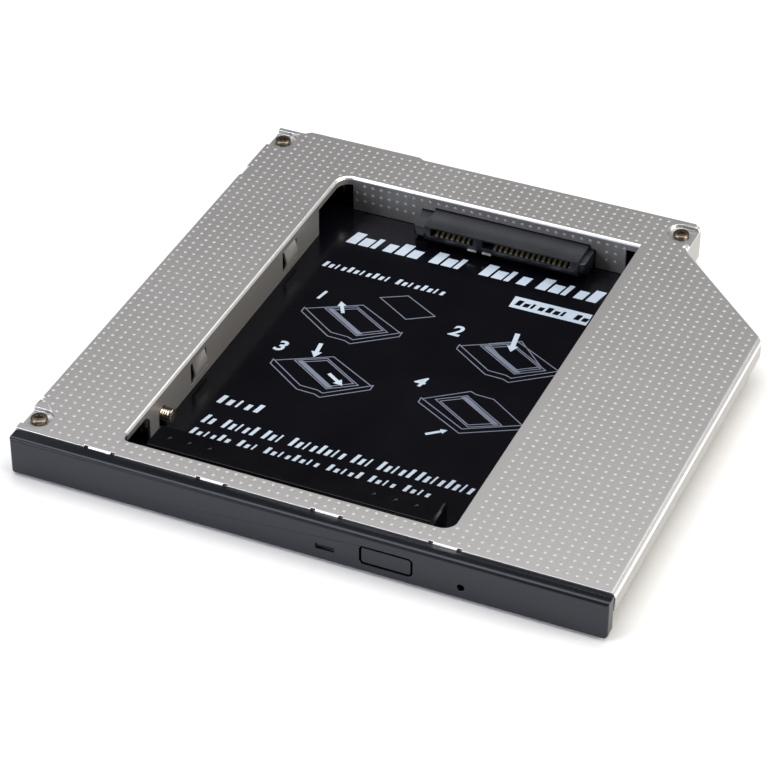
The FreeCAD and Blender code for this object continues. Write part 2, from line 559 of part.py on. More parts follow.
def make_cover():
    """The embossed cover: a folded sheet with the bay's window."""
    body = new_body("top_cover")
    radius = caddy.bend_radius
    rim_radius = caddy.rim_radius
    plate = new_sketch(body, "cover_outline", "top", cover_under)
    left_rear = cover_rear - caddy.arm_setback
    lip_rear = cover_rear + caddy.rear_lip_reach
    lip_right = caddy.rear_lip_left + caddy.rear_lip_width
    wing_flat = caddy.width - radius
    box_flat = caddy.box_width - radius
    draw_outline(plate, [
        (0, cover_front),
        (wing_flat, cover_front),
        (wing_flat, corner_sum - wing_flat),
        (box_flat, corner_sum - box_flat),
        (box_flat, cover_rear),
        (lip_right + caddy.rear_lip_slope, cover_rear),
        (lip_right, lip_rear),
        (caddy.rear_lip_left, lip_rear),
        (caddy.rear_lip_left - caddy.rear_lip_slope, left_rear),
        (0, left_rear),
    ])
    pad(body, plate, sheet_thickness)

    window = new_sketch(body, "window", "top", cover_under)
    rim_left = caddy.bay_left - rim_radius
    rim_rear = window_rear + rim_radius
    rim_front = window_front + caddy.rim_start
    draw_outline(window, [
        (caddy.bay_left, window_front, caddy.bay_corner_left),
        (window_right, window_front, caddy.bay_corner_right),
        (window_right, rim_rear),
        (rim_left, rim_rear, caddy.bay_corner_rear + rim_radius),
        (rim_left, rim_front),
        (caddy.bay_left, rim_front),
    ])
    pocket(body, window, sheet_thickness)

    # Turned-down rim along the left, round the corner and along the rear
    rim_foot = cover_top - caddy.rim_depth
    left_rim = new_sketch(body, "left_rim", "front", rim_front)
    draw_bend(left_rim, caddy.bay_left, 1, rim_foot, rim_radius)
    pad(body, left_rim, window_rear - caddy.bay_corner_rear - rim_front)
    turn_x = caddy.bay_left + caddy.bay_corner_rear
    turn_y = window_rear - caddy.bay_corner_rear
    corner_rim = new_sketch(body, "corner_rim", "front", turn_y, (turn_x, 0))
    draw_bend(corner_rim, -caddy.bay_corner_rear, 1, rim_foot, rim_radius)
    revolve(body, corner_rim, "V_Axis", 90).Reversed = True
    rear_rim = new_sketch(body, "rear_rim", "side", turn_x)
    draw_bend(rear_rim, window_rear, -1, rim_foot, rim_radius)
    pad(body, rear_rim, window_right - turn_x)

    # Left wall of the bay, with its cut-back front, stud slot and spring tongues
    wall_inner = caddy.bay_left - sheet_thickness
    notch = window_front + caddy.flange_notch
    notch_top = cover_top - caddy.flange_notch_height
    wall_end = window_rear - caddy.flange_end
    left_wall = new_sketch(body, "left_wall", "side", wall_inner)
    draw_outline(left_wall, [
        (notch, flange_foot),
        (wall_end, flange_foot),
        (wall_end, cover_top - rim_radius),
        (notch - caddy.flange_notch_slope, cover_top - rim_radius),
        (notch - caddy.flange_notch_slope, notch_top + caddy.flange_notch_slope),
        (notch, notch_top),
    ])
    pad(body, left_wall, sheet_thickness)
    slot_half = caddy.stud_radius + caddy.stud_slot_gap
    slot = new_sketch(body, "stud_slot", "side", wall_inner)
    draw_box(slot, (stud_across - slot_half, flange_foot), (stud_across + slot_half, stud_axis))
    pocket(body, slot, sheet_thickness)
    slot_top = new_sketch(body, "stud_slot_top", "side", wall_inner)
    draw_circle(slot_top, (stud_across, stud_axis), slot_half)
    pocket(body, slot_top, sheet_thickness)
    cut_tongues(body, "left", caddy.bay_left, wall_inner, sheet_thickness, caddy.tongue_bulge)

    # Rear wall of the bay, cut out round the drive connector
    gap = caddy.flange_cut_gap
    cut_left = drive_plug_left - caddy.guide_left - gap
    cut_right = drive_plug_right + caddy.guide_right + gap
    rear_wall = new_sketch(body, "rear_wall", "front", window_rear)
    draw_outline(rear_wall, [
        (caddy.bay_left + caddy.rear_flange_start, cover_top - rim_radius),
        (caddy.bay_left + caddy.rear_flange_start, flange_foot),
        (cut_left, flange_foot),
        (cut_left, guide_top + gap),
        (drive_plug_left - gap, guide_top + gap),
        (drive_plug_left - gap, caddy.drive_plug_top + gap),
        (drive_plug_right + gap, caddy.drive_plug_top + gap),
        (drive_plug_right + gap, guide_top + gap),
        (cut_right, guide_top + gap),
        (cut_right, flange_foot),
        (window_right - caddy.rear_flange_end, flange_foot),
        (window_right - caddy.rear_flange_end, cover_top - rim_radius),
    ])
    pad(body, rear_wall, sheet_thickness)

    # Flange of the thin wing, and the flange behind the cut corner
    wing = new_sketch(body, "wing_flange", "front", cover_front)
    draw_bend(wing, caddy.width, 1, wing_foot, radius)
    pad(body, wing, corner_sum - wing_flat - cover_front)
    wing_tip = new_sketch(body, "wing_tip", "top", wing_foot)
    draw_outline(wing_tip, [
        (wing_flat, corner_sum - wing_flat),
        (caddy.width, wing_rear),
        (caddy.width, corner_sum - wing_flat),
    ])
    pocket(body, wing_tip, cover_top - wing_foot)
    box_flange = new_sketch(body, "box_flange", "front", corner_sum - box_flat)
    draw_bend(box_flange, caddy.box_width, 1, caddy.box_flange_foot, radius)
    pad(body, box_flange, tray_rear - corner_sum + box_flat)

    # Pressed pads for the cover screws, open to the sides
    for name, across, along in SCREW_PADS:
        left = across.value < caddy.bay_left.value
        reach = caddy.pad_reach_left if left else caddy.pad_reach_right
        width = caddy.pad_width_rear if name.startswith("rear") else caddy.pad_width_front
        edge = size(0) if left else caddy.box_width
        inward = 1 if left else -1
        stages = [("press", sheet_thickness, edge if left else box_flat),
                  ("hollow", size(0), edge)]
        if not left:
            stages.insert(0, ("floor", sheet_thickness, edge - sheet_thickness / 2))
        for stage, spare, start in stages:
            shape = new_sketch(body, f"{name}_{stage}", "top",
                               pad_top if stage == "hollow" else pad_under)
            end = edge + (reach + spare) * inward
            draw_outline(shape, [
                (start, along - width / 2 - spare),
                (end, along - width / 2 - spare, caddy.pad_corner + spare),
                (end, along + width / 2 + spare, caddy.pad_corner + spare),
                (start, along + width / 2 + spare),
            ])
            if stage == "hollow":
                pocket(body, shape, caddy.pad_depth)
            else:
                pad(body, shape, (pad_top if stage == "floor" else cover_top) - pad_under)
        hole = new_sketch(body, f"{name}_hole", "top", pad_under)
        draw_circle(hole, (across, along), caddy.screw_shank_radius + caddy.screw_hole_gap)
        pocket(body, hole, sheet_thickness)

    # Lips turned down behind the bezel, each between two relief notches
    lip_left = caddy.lip_first - caddy.lip_width / 2
    lips = new_sketch(body, "front_lip", "top", cover_top - caddy.lip_depth)
    draw_box(lips, (lip_left, cover_front), (lip_left + caddy.lip_width, tray_front))
    lip = pad(body, lips, caddy.lip_depth)
    repeat(body, [lip], "X_Axis", caddy.lip_count, caddy.lip_spacing)
    for side, start in (("left", lip_left - caddy.lip_notch), ("right", lip_left + caddy.lip_width)):
        relief = new_sketch(body, f"lip_{side}_notch", "top", cover_under)
        draw_box(relief, (start, cover_front), (start + caddy.lip_notch, tray_front))
        cut = pocket(body, relief, sheet_thickness)
        repeat(body, [cut], "X_Axis", caddy.lip_count, caddy.lip_spacing)

    # Notches in the left edge
    notches = new_sketch(body, "edge_notches", "top", cover_under)
    front_notch = cover_front + caddy.edge_notch_front
    rear_notch = cover_rear - caddy.edge_notch_rear
    draw_box(notches, (0, front_notch), (caddy.edge_notch_depth, front_notch + caddy.edge_notch_width))
    draw_box(notches, (0, rear_notch), (caddy.edge_notch_depth, rear_notch + caddy.edge_notch_length))
    pocket(body, notches, sheet_thickness)
    finish(body, "top_cover")


def make_tray():
    """The folded tray: floor, walls, and the raised shelf under the wing."""
    body = new_body("base_tray")
    metal = caddy.tray_sheet
    floor = new_sketch(body, "tray_floor", "top", 0)
    draw_box(floor, (0, tray_front), (tray_right, tray_rear))
    pad(body, floor, metal)

    box_corner = corner_sum - caddy.box_width
    walls = new_sketch(body, "tray_walls", "top", 0)
    draw_outline(walls, [
        (0, tray_front),
        (tray_right, tray_front),
        (tray_right, tray_rear),
        (0, tray_rear),
    ])
    draw_outline(walls, [
        (metal, tray_front + metal),
        (tray_right - metal, tray_front + metal),
        (tray_right - metal, tray_rear - metal),
        (metal, tray_rear - metal),
    ])
    pad(body, walls, cover_under)

    # Shelf under the wing: its outline follows the cut corner
    shelf_right = wing_inner
    shelf = new_sketch(body, "wing_shelf", "top", wing_foot)
    shelf_edge = [
        (tray_right - metal, tray_front),
        (shelf_right, tray_front),
        (shelf_right, wing_rear - metal),
        (tray_right, corner_sum - tray_right - metal * 2),
        (tray_right - metal, corner_sum - tray_right - metal * 2),
    ]
    draw_outline(shelf, shelf_edge)
    pad(body, shelf, metal)
    shelf_lip = new_sketch(body, "wing_shelf_lip", "top", wing_foot)
    draw_box(shelf_lip, (shelf_right - metal, tray_front), (shelf_right, wing_rear - metal))
    pad(body, shelf_lip, caddy.shelf_lip)
    wing_front = new_sketch(body, "wing_front_wall", "top", wing_foot)
    draw_box(wing_front, (tray_right - metal, tray_front), (shelf_right, tray_front + metal))
    pad(body, wing_front, cover_under - wing_foot)
    corner_wall = new_sketch(body, "cut_corner_wall", "top", wing_foot)
    draw_outline(corner_wall, [
        (shelf_right - metal, wing_rear - metal),
        (shelf_right, wing_rear - metal),
        (tray_right, corner_sum - tray_right - metal * 2),
        (tray_right - metal, corner_sum - tray_right - metal * 2),
    ])
    pad(body, corner_wall, cover_under - wing_foot)

    # Passage from the box into the wing above the shelf
    wing_door = new_sketch(body, "wing_passage", "top", wing_foot + metal)
    draw_box(wing_door, (tray_right - metal, tray_front + metal), (tray_right, box_corner - metal * 3))
    pocket(body, wing_door, cover_under - wing_foot - metal)

    # Walls end below the inside of the cover's bends
    relief = new_sketch(body, "bend_relief", "top", cover_top - caddy.bend_radius)
    bend_start = corner_sum - caddy.box_width + caddy.bend_radius
    draw_box(relief, (tray_right - metal, bend_start), (tray_right, tray_rear))
    draw_box(relief, (wing_inner - metal - caddy.tray_gap, tray_front), (wing_inner, wing_rear))
    pocket(body, relief, caddy.bend_radius)

    # Room for the pressed pads of the cover
    for name, across, along in SCREW_PADS:
        left = across.value < caddy.bay_left.value
        width = caddy.pad_width_rear if name.startswith("rear") else caddy.pad_width_front
        edge = size(0) if left else tray_right - caddy.pad_reach_right
        reach = caddy.pad_reach_left + sheet_thickness if left else caddy.pad_reach_right
        room = new_sketch(body, f"{name}_room", "top", pad_under)
        draw_box(room, (edge, along - width / 2 - sheet_thickness),
                 (edge + reach, along + width / 2 + sheet_thickness))
        pocket(body, room, cover_under - pad_under)

    # Slots for the bezel's hooks
    gap = caddy.hook_gap
    for number, across in enumerate(HOOKS, start=1):
        slot = new_sketch(body, f"hook_slot_{number}", "front", tray_front)
        half = caddy.hook_width / 2 + gap
        draw_box(slot, (across - half, caddy.hook_rise - caddy.hook_barb - gap),
                 (across + half, caddy.hook_rise + caddy.hook_thickness + gap))
        pocket(body, slot, metal)

    # Tab that carries the stud, folded up out of the floor
    tab_front = stud_across - caddy.tab_width / 2
    hole_left = tab_right - metal - caddy.tab_height
    lanced = new_sketch(body, "tab_opening", "top", 0)
    draw_box(lanced, (hole_left, tab_front), (tab_right - metal, tab_front + caddy.tab_width))
    pocket(body, lanced, metal)
    tab = new_sketch(body, "stud_tab", "side", tab_right - metal)
    tab_top = floor_top + caddy.tab_height
    draw_outline(tab, [
        (tab_front, 0),
        (tab_front + caddy.tab_width, 0),
        (tab_front + caddy.tab_width, tab_top, caddy.stud_radius),
        (tab_front, tab_top, caddy.stud_radius),
    ])
    pad(body, tab, metal)
    stud_bore = new_sketch(body, "stud_bore", "side", tab_right - metal)
    draw_circle(stud_bore, (stud_across, stud_axis), caddy.stud_radius + caddy.bore_gap)
    pocket(body, stud_bore, metal)

    # Rear wall: the host connector's opening and two threaded bracket holes
    gap = caddy.host_opening_gap
    opening = new_sketch(body, "host_opening", "front", tray_rear - metal)
    draw_box(opening, (host_plug_left - gap, board_top - gap),
             (host_plug_left + host_plug_width + gap, host_plug_top + gap))
    pocket(body, opening, metal)
    boss = new_sketch(body, "bracket_boss", "front", tray_rear - metal - caddy.bracket_boss_length)
    first = caddy.box_width - caddy.bracket_hole_right - caddy.bracket_hole_spacing
    draw_circle(boss, (first, caddy.bracket_hole_rise), caddy.bracket_boss_radius)
    collar = pad(body, boss, caddy.bracket_boss_length)
    repeat(body, [collar], "X_Axis", 2, caddy.bracket_hole_spacing)
    bore = new_sketch(body, "bracket_bore", "front", tray_rear - metal - caddy.bracket_boss_length)
    draw_circle(bore, (first, caddy.bracket_hole_rise), caddy.bracket_hole_radius)
    thread = pocket(body, bore, caddy.bracket_boss_length + metal)
    repeat(body, [thread], "X_Axis", 2, caddy.bracket_hole_spacing)
    finish(body, "base_tray")


def make_rail():
    """The folded channel that forms the bay's right wall."""
    body = new_body("bay_rail")
    metal = caddy.rail_sheet
    wall = window_right + caddy.rail_setback
    outer = wall + caddy.rail_foot
    front = window_front + caddy.rail_start
    profile = new_sketch(body, "rail_profile", "front", front)
    draw_outline(profile, [
        (wall, floor_top, metal * 1.5),
        (outer, floor_top),
        (outer, floor_top + metal),
        (wall + metal, floor_top + metal, metal / 2),
        (wall + metal, cover_under - metal, metal / 2),
        (outer, cover_under - metal),
        (outer, cover_under),
        (wall, cover_under, metal * 1.5),
    ])
    pad(body, profile, window_rear - caddy.rail_end - front)
    cut_tongues(body, "rail", wall, wall, metal, -caddy.tongue_bulge)
    finish(body, "bay_rail")


def make_film():
    """The insulating film on the floor, cut out round the stud's tab."""
    body = new_body("floor_film")
    edge = tab_right + caddy.film_gap * 4
    tab_front = stud_across - caddy.tab_width / 2 - caddy.film_gap * 4
    tab_rear = stud_across + caddy.tab_width / 2 + caddy.film_gap * 4
    front = tray_front + caddy.tray_sheet + caddy.film_front
    outline = new_sketch(body, "film_outline", "top", floor_top)
    draw_outline(outline, [
        (caddy.film_margin, front),
        (window_right + caddy.rail_setback - caddy.film_gap, front),
        (window_right + caddy.rail_setback - caddy.film_gap, window_rear),
        (caddy.film_margin, window_rear),
        (caddy.film_margin, tab_rear),
        (edge, tab_rear),
        (edge, tab_front),
        (caddy.film_margin, tab_front),
    ])
    pad(body, outline, caddy.film_thickness)
    finish(body, "floor_film")


def make_bezel():
    """The moulded front: button opening, indicator recess, pinhole and hooks."""
    body = new_body("bezel")
    left = caddy.bezel_inset
    right = caddy.width - caddy.bezel_inset
    foot = caddy.bezel_foot
    top = foot + caddy.bezel_height
    back = caddy.bezel_thickness
    cut = caddy.bezel_corner
    section = new_sketch(body, "bezel_section", "side", left)
    draw_outline(section, [
        (0, foot, caddy.bezel_edge_radius),
        (back, foot),
        (back, top),
        (0, top, caddy.bezel_top_radius),
    ])
    pad(body, section, right - left)
    corners = new_sketch(body, "bezel_corner_cuts", "front", 0)
    draw_outline(corners, [(left, foot), (left + cut, foot), (left, foot + cut)])
    draw_outline(corners, [(right, foot), (right, foot + cut), (right - cut, foot)])
    pocket(body, corners, back)
    bevel = caddy.bezel_end_bevel
    ends = new_sketch(body, "bezel_end_bevels", "top", 0)
    draw_outline(ends, [(left, 0), (left + bevel, 0), (left, bevel)])
    draw_outline(ends, [(right, 0), (right, bevel), (right - bevel, 0)])
    pocket(body, ends, caddy.height)

    skin = caddy.bezel_skin
    rim = caddy.bezel_rim
    well = caddy.button_well
    arm = caddy.button_flange + caddy.button_arm + well
    well_left = button_left - arm
    well_right = button_right + arm
    hollows = new_sketch(body, "bezel_hollows", "front", skin)
    edges = (left + rim * 2, well_left - rim, well_left, well_right, well_right + rim, right - rim * 2)
    for start, end in zip(edges[0::2], edges[1::2]):
        draw_box(hollows, (start, foot + rim), (end, top - rim))
    pocket(body, hollows, back - skin)
    pinhole_boss = new_sketch(body, "pinhole_boss", "front", skin)
    draw_circle(pinhole_boss, (pinhole_across, caddy.pinhole_rise), caddy.pinhole_radius * 2)
    pad(body, pinhole_boss, back - skin)

    opening = new_sketch(body, "button_opening", "front", 0)
    draw_box(opening, (button_left, caddy.button_foot),
             (button_right, caddy.button_foot + caddy.button_height), caddy.button_corner)
    pocket(body, opening, back)
    lamp = new_sketch(body, "indicator_recess", "front", 0)
    draw_box(lamp, (lamp_right - caddy.lamp_width, caddy.lamp_foot),
             (lamp_right, caddy.lamp_foot + caddy.lamp_height))
    pocket(body, lamp, caddy.lamp_depth)
    pinhole = new_sketch(body, "pinhole", "front", 0)
    draw_circle(pinhole, (pinhole_across, caddy.pinhole_rise), caddy.pinhole_radius)
    pocket(body, pinhole, back)

    barb_face = tray_front + caddy.tray_sheet + caddy.hook_gap / 2
    tip = barb_face + caddy.hook_thickness
    rise = caddy.hook_rise
    for number, across in enumerate(HOOKS, start=1):
        hook = new_sketch(body, f"hook_{number}", "side", across - caddy.hook_width / 2)
        draw_outline(hook, [
            (back - rim / 2, rise),
            (barb_face, rise),
            (barb_face, rise - caddy.hook_barb),
            (tip, rise),
            (tip, rise + caddy.hook_thickness),
            (back - rim / 2, rise + caddy.hook_thickness),
        ])
        pad(body, hook, caddy.hook_width)
        root = new_sketch(body, f"hook_root_{number}", "front", skin)
        draw_box(root, (across - caddy.hook_width / 2, rise - caddy.hook_thickness / 2),
                 (across + caddy.hook_width / 2, top - rim))
        pad(body, root, back - skin)
    finish(body, "bezel")


def make_button():
    """The moulded button: face, collar behind the bezel, and two spring arms."""
    body = new_body("eject_button")
    gap = caddy.button_gap
    left = button_left
    right = button_right
    foot = caddy.button_foot
    top = foot + caddy.button_height
    collar_front = caddy.bezel_skin + caddy.button_float
    face = new_sketch(body, "button_face", "front", caddy.button_inset)
    draw_box(face, (left + gap, foot + gap), (right - gap, top - gap), caddy.button_corner - gap)
    pad(body, face, collar_front + caddy.button_plate - caddy.button_inset)
    flange = caddy.button_flange
    collar = new_sketch(body, "button_collar", "front", collar_front)
    ledge = caddy.button_ledge
    draw_box(collar, (left - flange, foot - ledge), (right + flange, top + ledge),
             caddy.button_corner)
    pad(body, collar, caddy.button_plate)
    middle = foot + caddy.button_height / 2
    half = caddy.button_arm_height / 2
    reach = flange + caddy.button_arm
    arms = new_sketch(body, "button_arms", "front", collar_front)
    draw_box(arms, (left - reach, middle - half), (right + reach, middle + half), half * 0.8)
    pad(body, arms, caddy.button_plate)
    finish(body, "eject_button")


def make_stop_bar():
    """The moulded bar behind the bezel that keeps the drive on its connector."""
    body = new_body("stop_bar")
    left = caddy.bay_left + caddy.stop_side_gap
    right = window_right - caddy.stop_side_gap
    front = tray_front + caddy.tray_sheet + caddy.stop_front
    foot = film_top + caddy.stop_float
    top = cover_top - caddy.stop_top
    ledge_top = cover_under - caddy.stop_ledge_gap
    bevel = caddy.stop_chamfer
    shape = new_sketch(body, "stop_section", "front", front)
    draw_outline(shape, [
        (left, foot),
        (right, foot),
        (right, top - bevel * 0.6),
        (right - bevel, top),
        (left + bevel, top),
        (left, top - bevel * 0.6),
    ])
    pad(body, shape, caddy.stop_depth)
    ledge = new_sketch(body, "stop_ledge", "top", ledge_top)
    draw_box(ledge, (left, front), (right, front + caddy.stop_ledge))
    pocket(body, ledge, top - ledge_top)
    wall = caddy.stop_wall
    cell = (right - left - wall * (caddy.stop_cells + 1)) / caddy.stop_cells
    hollow = new_sketch(body, "stop_cell", "top", foot)
    draw_box(hollow, (left + wall, front + wall),
             (left + wall + cell, front + caddy.stop_depth - wall), wall / 2)
    cut = pocket(body, hollow, ledge_top - caddy.stop_roof - foot)
    repeat(body, [cut], "X_Axis", caddy.stop_cells, cell + wall)
    finish(body, "stop_bar")


def make_stud():
    """The headed M3 stud that enters the drive's side hole."""
    body = new_body("locating_stud")
    tip = caddy.bay_left + caddy.stud_reach
    seat = tab_right - caddy.tray_sheet
    profile = new_sketch(body, "stud_profile", "front", stud_across, (0, stud_axis))
    draw_outline(profile, [
        (seat - caddy.stud_head_height, 0),
        (tip, 0),
        (tip, caddy.stud_radius - caddy.stud_tip),
        (tip - caddy.stud_tip, caddy.stud_radius),
        (seat, caddy.stud_radius),
        (seat, caddy.stud_head_radius),
        (seat - caddy.stud_head_height, caddy.stud_head_radius),
    ])
    revolve(body, profile, "H_Axis", 360)
    finish(body, "locating_stud")


def make_board():
    """The circuit board that joins the two connectors."""
    body = new_body("adapter_board")
    outline = new_sketch(body, "board_outline", "top", board_low)
    draw_box(outline, (caddy.board_left, board_front), (board_right, board_rear))
    hole = caddy.screw_shank_radius + caddy.screw_hole_gap
    draw_circle(outline, (board_screw_left, board_screw_line), hole)
    draw_circle(outline, (board_screw_right, board_screw_line), hole)
    pad(body, outline, caddy.board_thickness)
    finish(body, "adapter_board")


def make_drive_connector():
    """The 22-way receptacle: two mouths with a key between them, and two guide arms."""
    body = new_body("drive_connector")
    left = drive_plug_left
    lip_foot = mouth_floor - caddy.mouth_lip
    section = new_sketch(body, "receptacle_section", "side", left)
    draw_outline(section, [
        (drive_plug_front, lip_foot),
        (drive_plug_front + caddy.mouth_undercut, caddy.drive_plug_foot),
        (board_front - caddy.board_gap / 2, caddy.drive_plug_foot),
        (board_front - caddy.board_gap / 2, board_top),
        (drive_plug_rear, board_top),
        (drive_plug_rear, caddy.drive_plug_top),
        (drive_plug_front, caddy.drive_plug_top),
    ])
    pad(body, section, caddy.drive_plug_width)
    guide_front = drive_plug_front + caddy.guide_setback
    for side, start, width in (("left", left - caddy.guide_left, caddy.guide_left),
                               ("right", drive_plug_right, caddy.guide_right)):
        guide_rear = board_front - caddy.board_gap / 2
        inner, outer = (start + width, start) if side == "left" else (start, start + width)
        guide = new_sketch(body, f"guide_{side}", "top", lip_foot)
        draw_outline(guide, [
            (outer, guide_front, caddy.guide_corner),
            (inner, guide_front),
            (inner, guide_rear),
            (outer, guide_rear),
        ])
        pad(body, guide, guide_top - lip_foot)
        root = new_sketch(body, f"guide_{side}_root", "top", caddy.drive_plug_foot)
        draw_box(root, (start, guide_front + caddy.mouth_undercut), (start + width, guide_rear))
        pad(body, root, lip_foot - caddy.drive_plug_foot)
    mouths = new_sketch(body, "mouths", "front", drive_plug_front)
    draw_box(mouths, (signal_mouth, mouth_floor), (signal_mouth + caddy.signal_mouth_width, mouth_top))
    draw_box(mouths, (power_mouth, mouth_floor), (power_mouth + caddy.power_mouth_width, mouth_top))
    pocket(body, mouths, caddy.mouth_depth)
    for name, start, first, count in CONTACT_ROWS:
        channel = new_sketch(body, f"{name}_channel", "front", drive_plug_front + caddy.mouth_depth)
        middle = start + first
        half = caddy.contact_width / 2
        draw_box(channel, (middle - half, mouth_floor),
                 (middle + half, mouth_floor + caddy.contact_sheet))
        cut = pocket(body, channel, drive_plug_rear - drive_plug_front - caddy.mouth_depth)
        repeat(body, [cut], "X_Axis", count, caddy.contact_spacing)
    finish(body, "drive_connector")


CONTACT_ROWS = (
    ("signal", signal_mouth, caddy.signal_contact_first, caddy.signal_contact_count),
    ("power", power_mouth, caddy.power_contact_first, caddy.power_contact_count),
)


def make_drive_contacts():
    """Sprung contacts: a hump in the mouth, a run through the housing, and a foot."""
    metal = caddy.contact_sheet
    hump = caddy.contact_hump
    tip = drive_plug_front + metal * 2
    crest = drive_plug_front + caddy.mouth_depth / 2
    heel = drive_plug_front + caddy.mouth_depth
    rear = drive_plug_rear + metal
    for name, start, first, count in CONTACT_ROWS:
        body = new_body(f"drive_{name}_contacts")
        profile = new_sketch(body, f"{name}_contact", "side",
                             start + first - caddy.contact_width / 2)
        draw_outline(profile, [
            (tip, mouth_floor),
            (crest, mouth_floor + hump),
            (heel, mouth_floor),
            (rear, mouth_floor),
            (rear, board_top),
            (rear + caddy.contact_foot, board_top),
            (rear + caddy.contact_foot, board_top + metal),
            (rear + metal, board_top + metal),
            (rear + metal, mouth_floor + metal),
            (heel, mouth_floor + metal),
            (crest, mouth_floor + hump + metal),
            (tip, mouth_floor + metal),
        ])
        contact = pad(body, profile, caddy.contact_width)
        repeat(body, [contact], "X_Axis", count, caddy.contact_spacing)
        finish(body, f"drive_{name}_contacts")


def make_host_connector():
    """The slim plug at the rear: a shroud round a blade with an upright key."""
    body = new_body("host_connector")
    wall = caddy.host_plug_wall
    right = host_plug_left + host_plug_width
    shroud = new_sketch(body, "plug_shroud", "front", host_plug_front)
    draw_box(shroud, (host_plug_left, board_top), (right, host_plug_top))
    pad(body, shroud, caddy.host_plug_depth)
    mouth = new_sketch(body, "plug_mouth", "front", host_plug_rear - caddy.host_mouth_depth)
    draw_box(mouth, (host_plug_left + wall, board_top + wall), (right - wall, host_plug_top - wall))
    pocket(body, mouth, caddy.host_mouth_depth)
    blade_right = right - wall - caddy.host_blade_margin
    blade = new_sketch(body, "plug_blade", "front", host_plug_rear - caddy.host_mouth_depth)
    draw_outline(blade, [
        (host_blade_left, host_blade_low),
        (blade_right, host_blade_low),
        (blade_right, host_blade_top + caddy.host_blade_key / 2),
        (blade_right - caddy.host_blade_key, host_blade_top + caddy.host_blade_key / 2),
        (blade_right - caddy.host_blade_key, host_blade_top),
        (host_blade_left, host_blade_top),
    ])
    pad(body, blade, caddy.host_mouth_depth - caddy.host_blade_shy)
    for name, first, count in HOST_ROWS:
        channel = new_sketch(body, f"host_{name}_channel", "front", host_plug_front)
        middle = host_blade_left + first
        half = caddy.contact_width / 2
        draw_box(channel, (middle - half, host_blade_top),
                 (middle + half, host_blade_top + caddy.contact_sheet))
        cut = pocket(body, channel, caddy.host_plug_depth - caddy.host_mouth_depth)
        repeat(body, [cut], "X_Axis", count, caddy.contact_spacing)
    finish(body, "host_connector")


HOST_ROWS = (
    ("signal", caddy.host_signal_first, caddy.host_signal_count),
    ("power", caddy.host_power_first, caddy.host_power_count),
)


def make_host_contacts():
    """Flat contacts on the blade, with feet on the board in front of the housing."""
    metal = caddy.contact_sheet
    tip = host_plug_rear - caddy.host_blade_shy * 2
    front = host_plug_front - metal
    for name, first, count in HOST_ROWS:
        body = new_body(f"host_{name}_contacts")
        profile = new_sketch(body, f"host_{name}_contact", "side",
                             host_blade_left + first - caddy.contact_width / 2)
        draw_outline(profile, [
            (tip, host_blade_top),
            (tip, host_blade_top + metal),
            (front - metal, host_blade_top + metal),
            (front - metal, board_top + metal),
            (front - caddy.contact_foot, board_top + metal),
            (front - caddy.contact_foot, board_top),
            (front, board_top),
            (front, host_blade_top),
        ])
        contact = pad(body, profile, caddy.contact_width)
        repeat(body, [contact], "X_Axis", count, caddy.contact_spacing)
        finish(body, f"host_{name}_contacts")


def make_capacitors():
    """Chip capacitors in a row on the board."""
    body = new_body("board_capacitors")
    outline = new_sketch(body, "capacitor", "top", board_top)
    back = board_rear - caddy.chip_rear
    first = board_screw_left + caddy.chip_margin
    last = board_screw_right - caddy.chip_margin - caddy.chip_length
    draw_box(outline, (first, back), (first + caddy.chip_length, back + caddy.chip_depth))
    chip = pad(body, outline, caddy.chip_height)
    repeat(body, [chip], "X_Axis", caddy.chip_count, (last - first) / (caddy.chip_count - 1))
    finish(body, "board_capacitors")


def make_screw(label, across, along, seat, length):
    """A pan-head M2 screw, standing on its seat."""
    body = new_body(label)
    profile = new_sketch(body, label + "_profile", "front", along, (across, seat))
    head = caddy.screw_head_radius
    height = caddy.screw_head_height
    draw_outline(profile, [
        (0, -length),
        (caddy.screw_shank_radius, -length),
        (caddy.screw_shank_radius, 0),
        (head, 0),
        (head, height - caddy.screw_crown),
        (head - caddy.screw_crown, height),
        (0, height),
    ])
    revolve(body, profile, "V_Axis", 360)
    finish(body, label)


def make_pillar(label, across, along, radius, top, bore_depth):
    """A round pillar or spacer on the floor, bored for an M2 screw."""
    body = new_body(label)
    profile = new_sketch(body, label + "_round", "top", floor_top)
    draw_circle(profile, (across, along), radius)
    pad(body, profile, top - floor_top)
    bore = new_sketch(body, label + "_bore", "top", top - bore_depth)
    draw_circle(bore, (across, along), caddy.screw_shank_radius + caddy.bore_gap)
    pocket(body, bore, bore_depth)
    finish(body, label)


def make_fasteners():
    """Cover screws in their pillars, and board screws in their spacers."""
    for name, across, along in SCREW_PADS:
        make_screw("cover_screw_" + name, across, along, pad_top, caddy.cover_screw_length)
        bore = caddy.cover_screw_length - sheet_thickness + caddy.pillar_bore_spare
        make_pillar("pillar_" + name, across, along, caddy.pillar_radius, pad_under, bore)
    for name, across in (("left", board_screw_left), ("right", board_screw_right)):
        make_screw("board_screw_" + name, across, board_screw_line, board_top,
                   caddy.board_screw_length)
        make_pillar("board_spacer_" + name, across, board_screw_line, caddy.spacer_radius,
                    board_low, caddy.board_rise)


def check_and_write():
    """Refuse a failed feature or a bad shape, then write each sub-part."""
    doc.recompute()
    for thing in doc.Objects:
        if "Invalid" in thing.State or "Error" in thing.State:
            raise RuntimeError(f"{thing.Label} failed: {thing.State}")
    for part in parts:
        if part.Shape.isNull() or not part.Shape.isValid():
            raise RuntimeError(f"{part.Label} has no valid shape")
    os.makedirs("parts", exist_ok=True)
    for part in parts:
        part.Shape.exportStep(f"parts/{part.Label}.step")
        print(part.Label, len(part.Shape.Solids), round(part.Shape.Volume, 2))


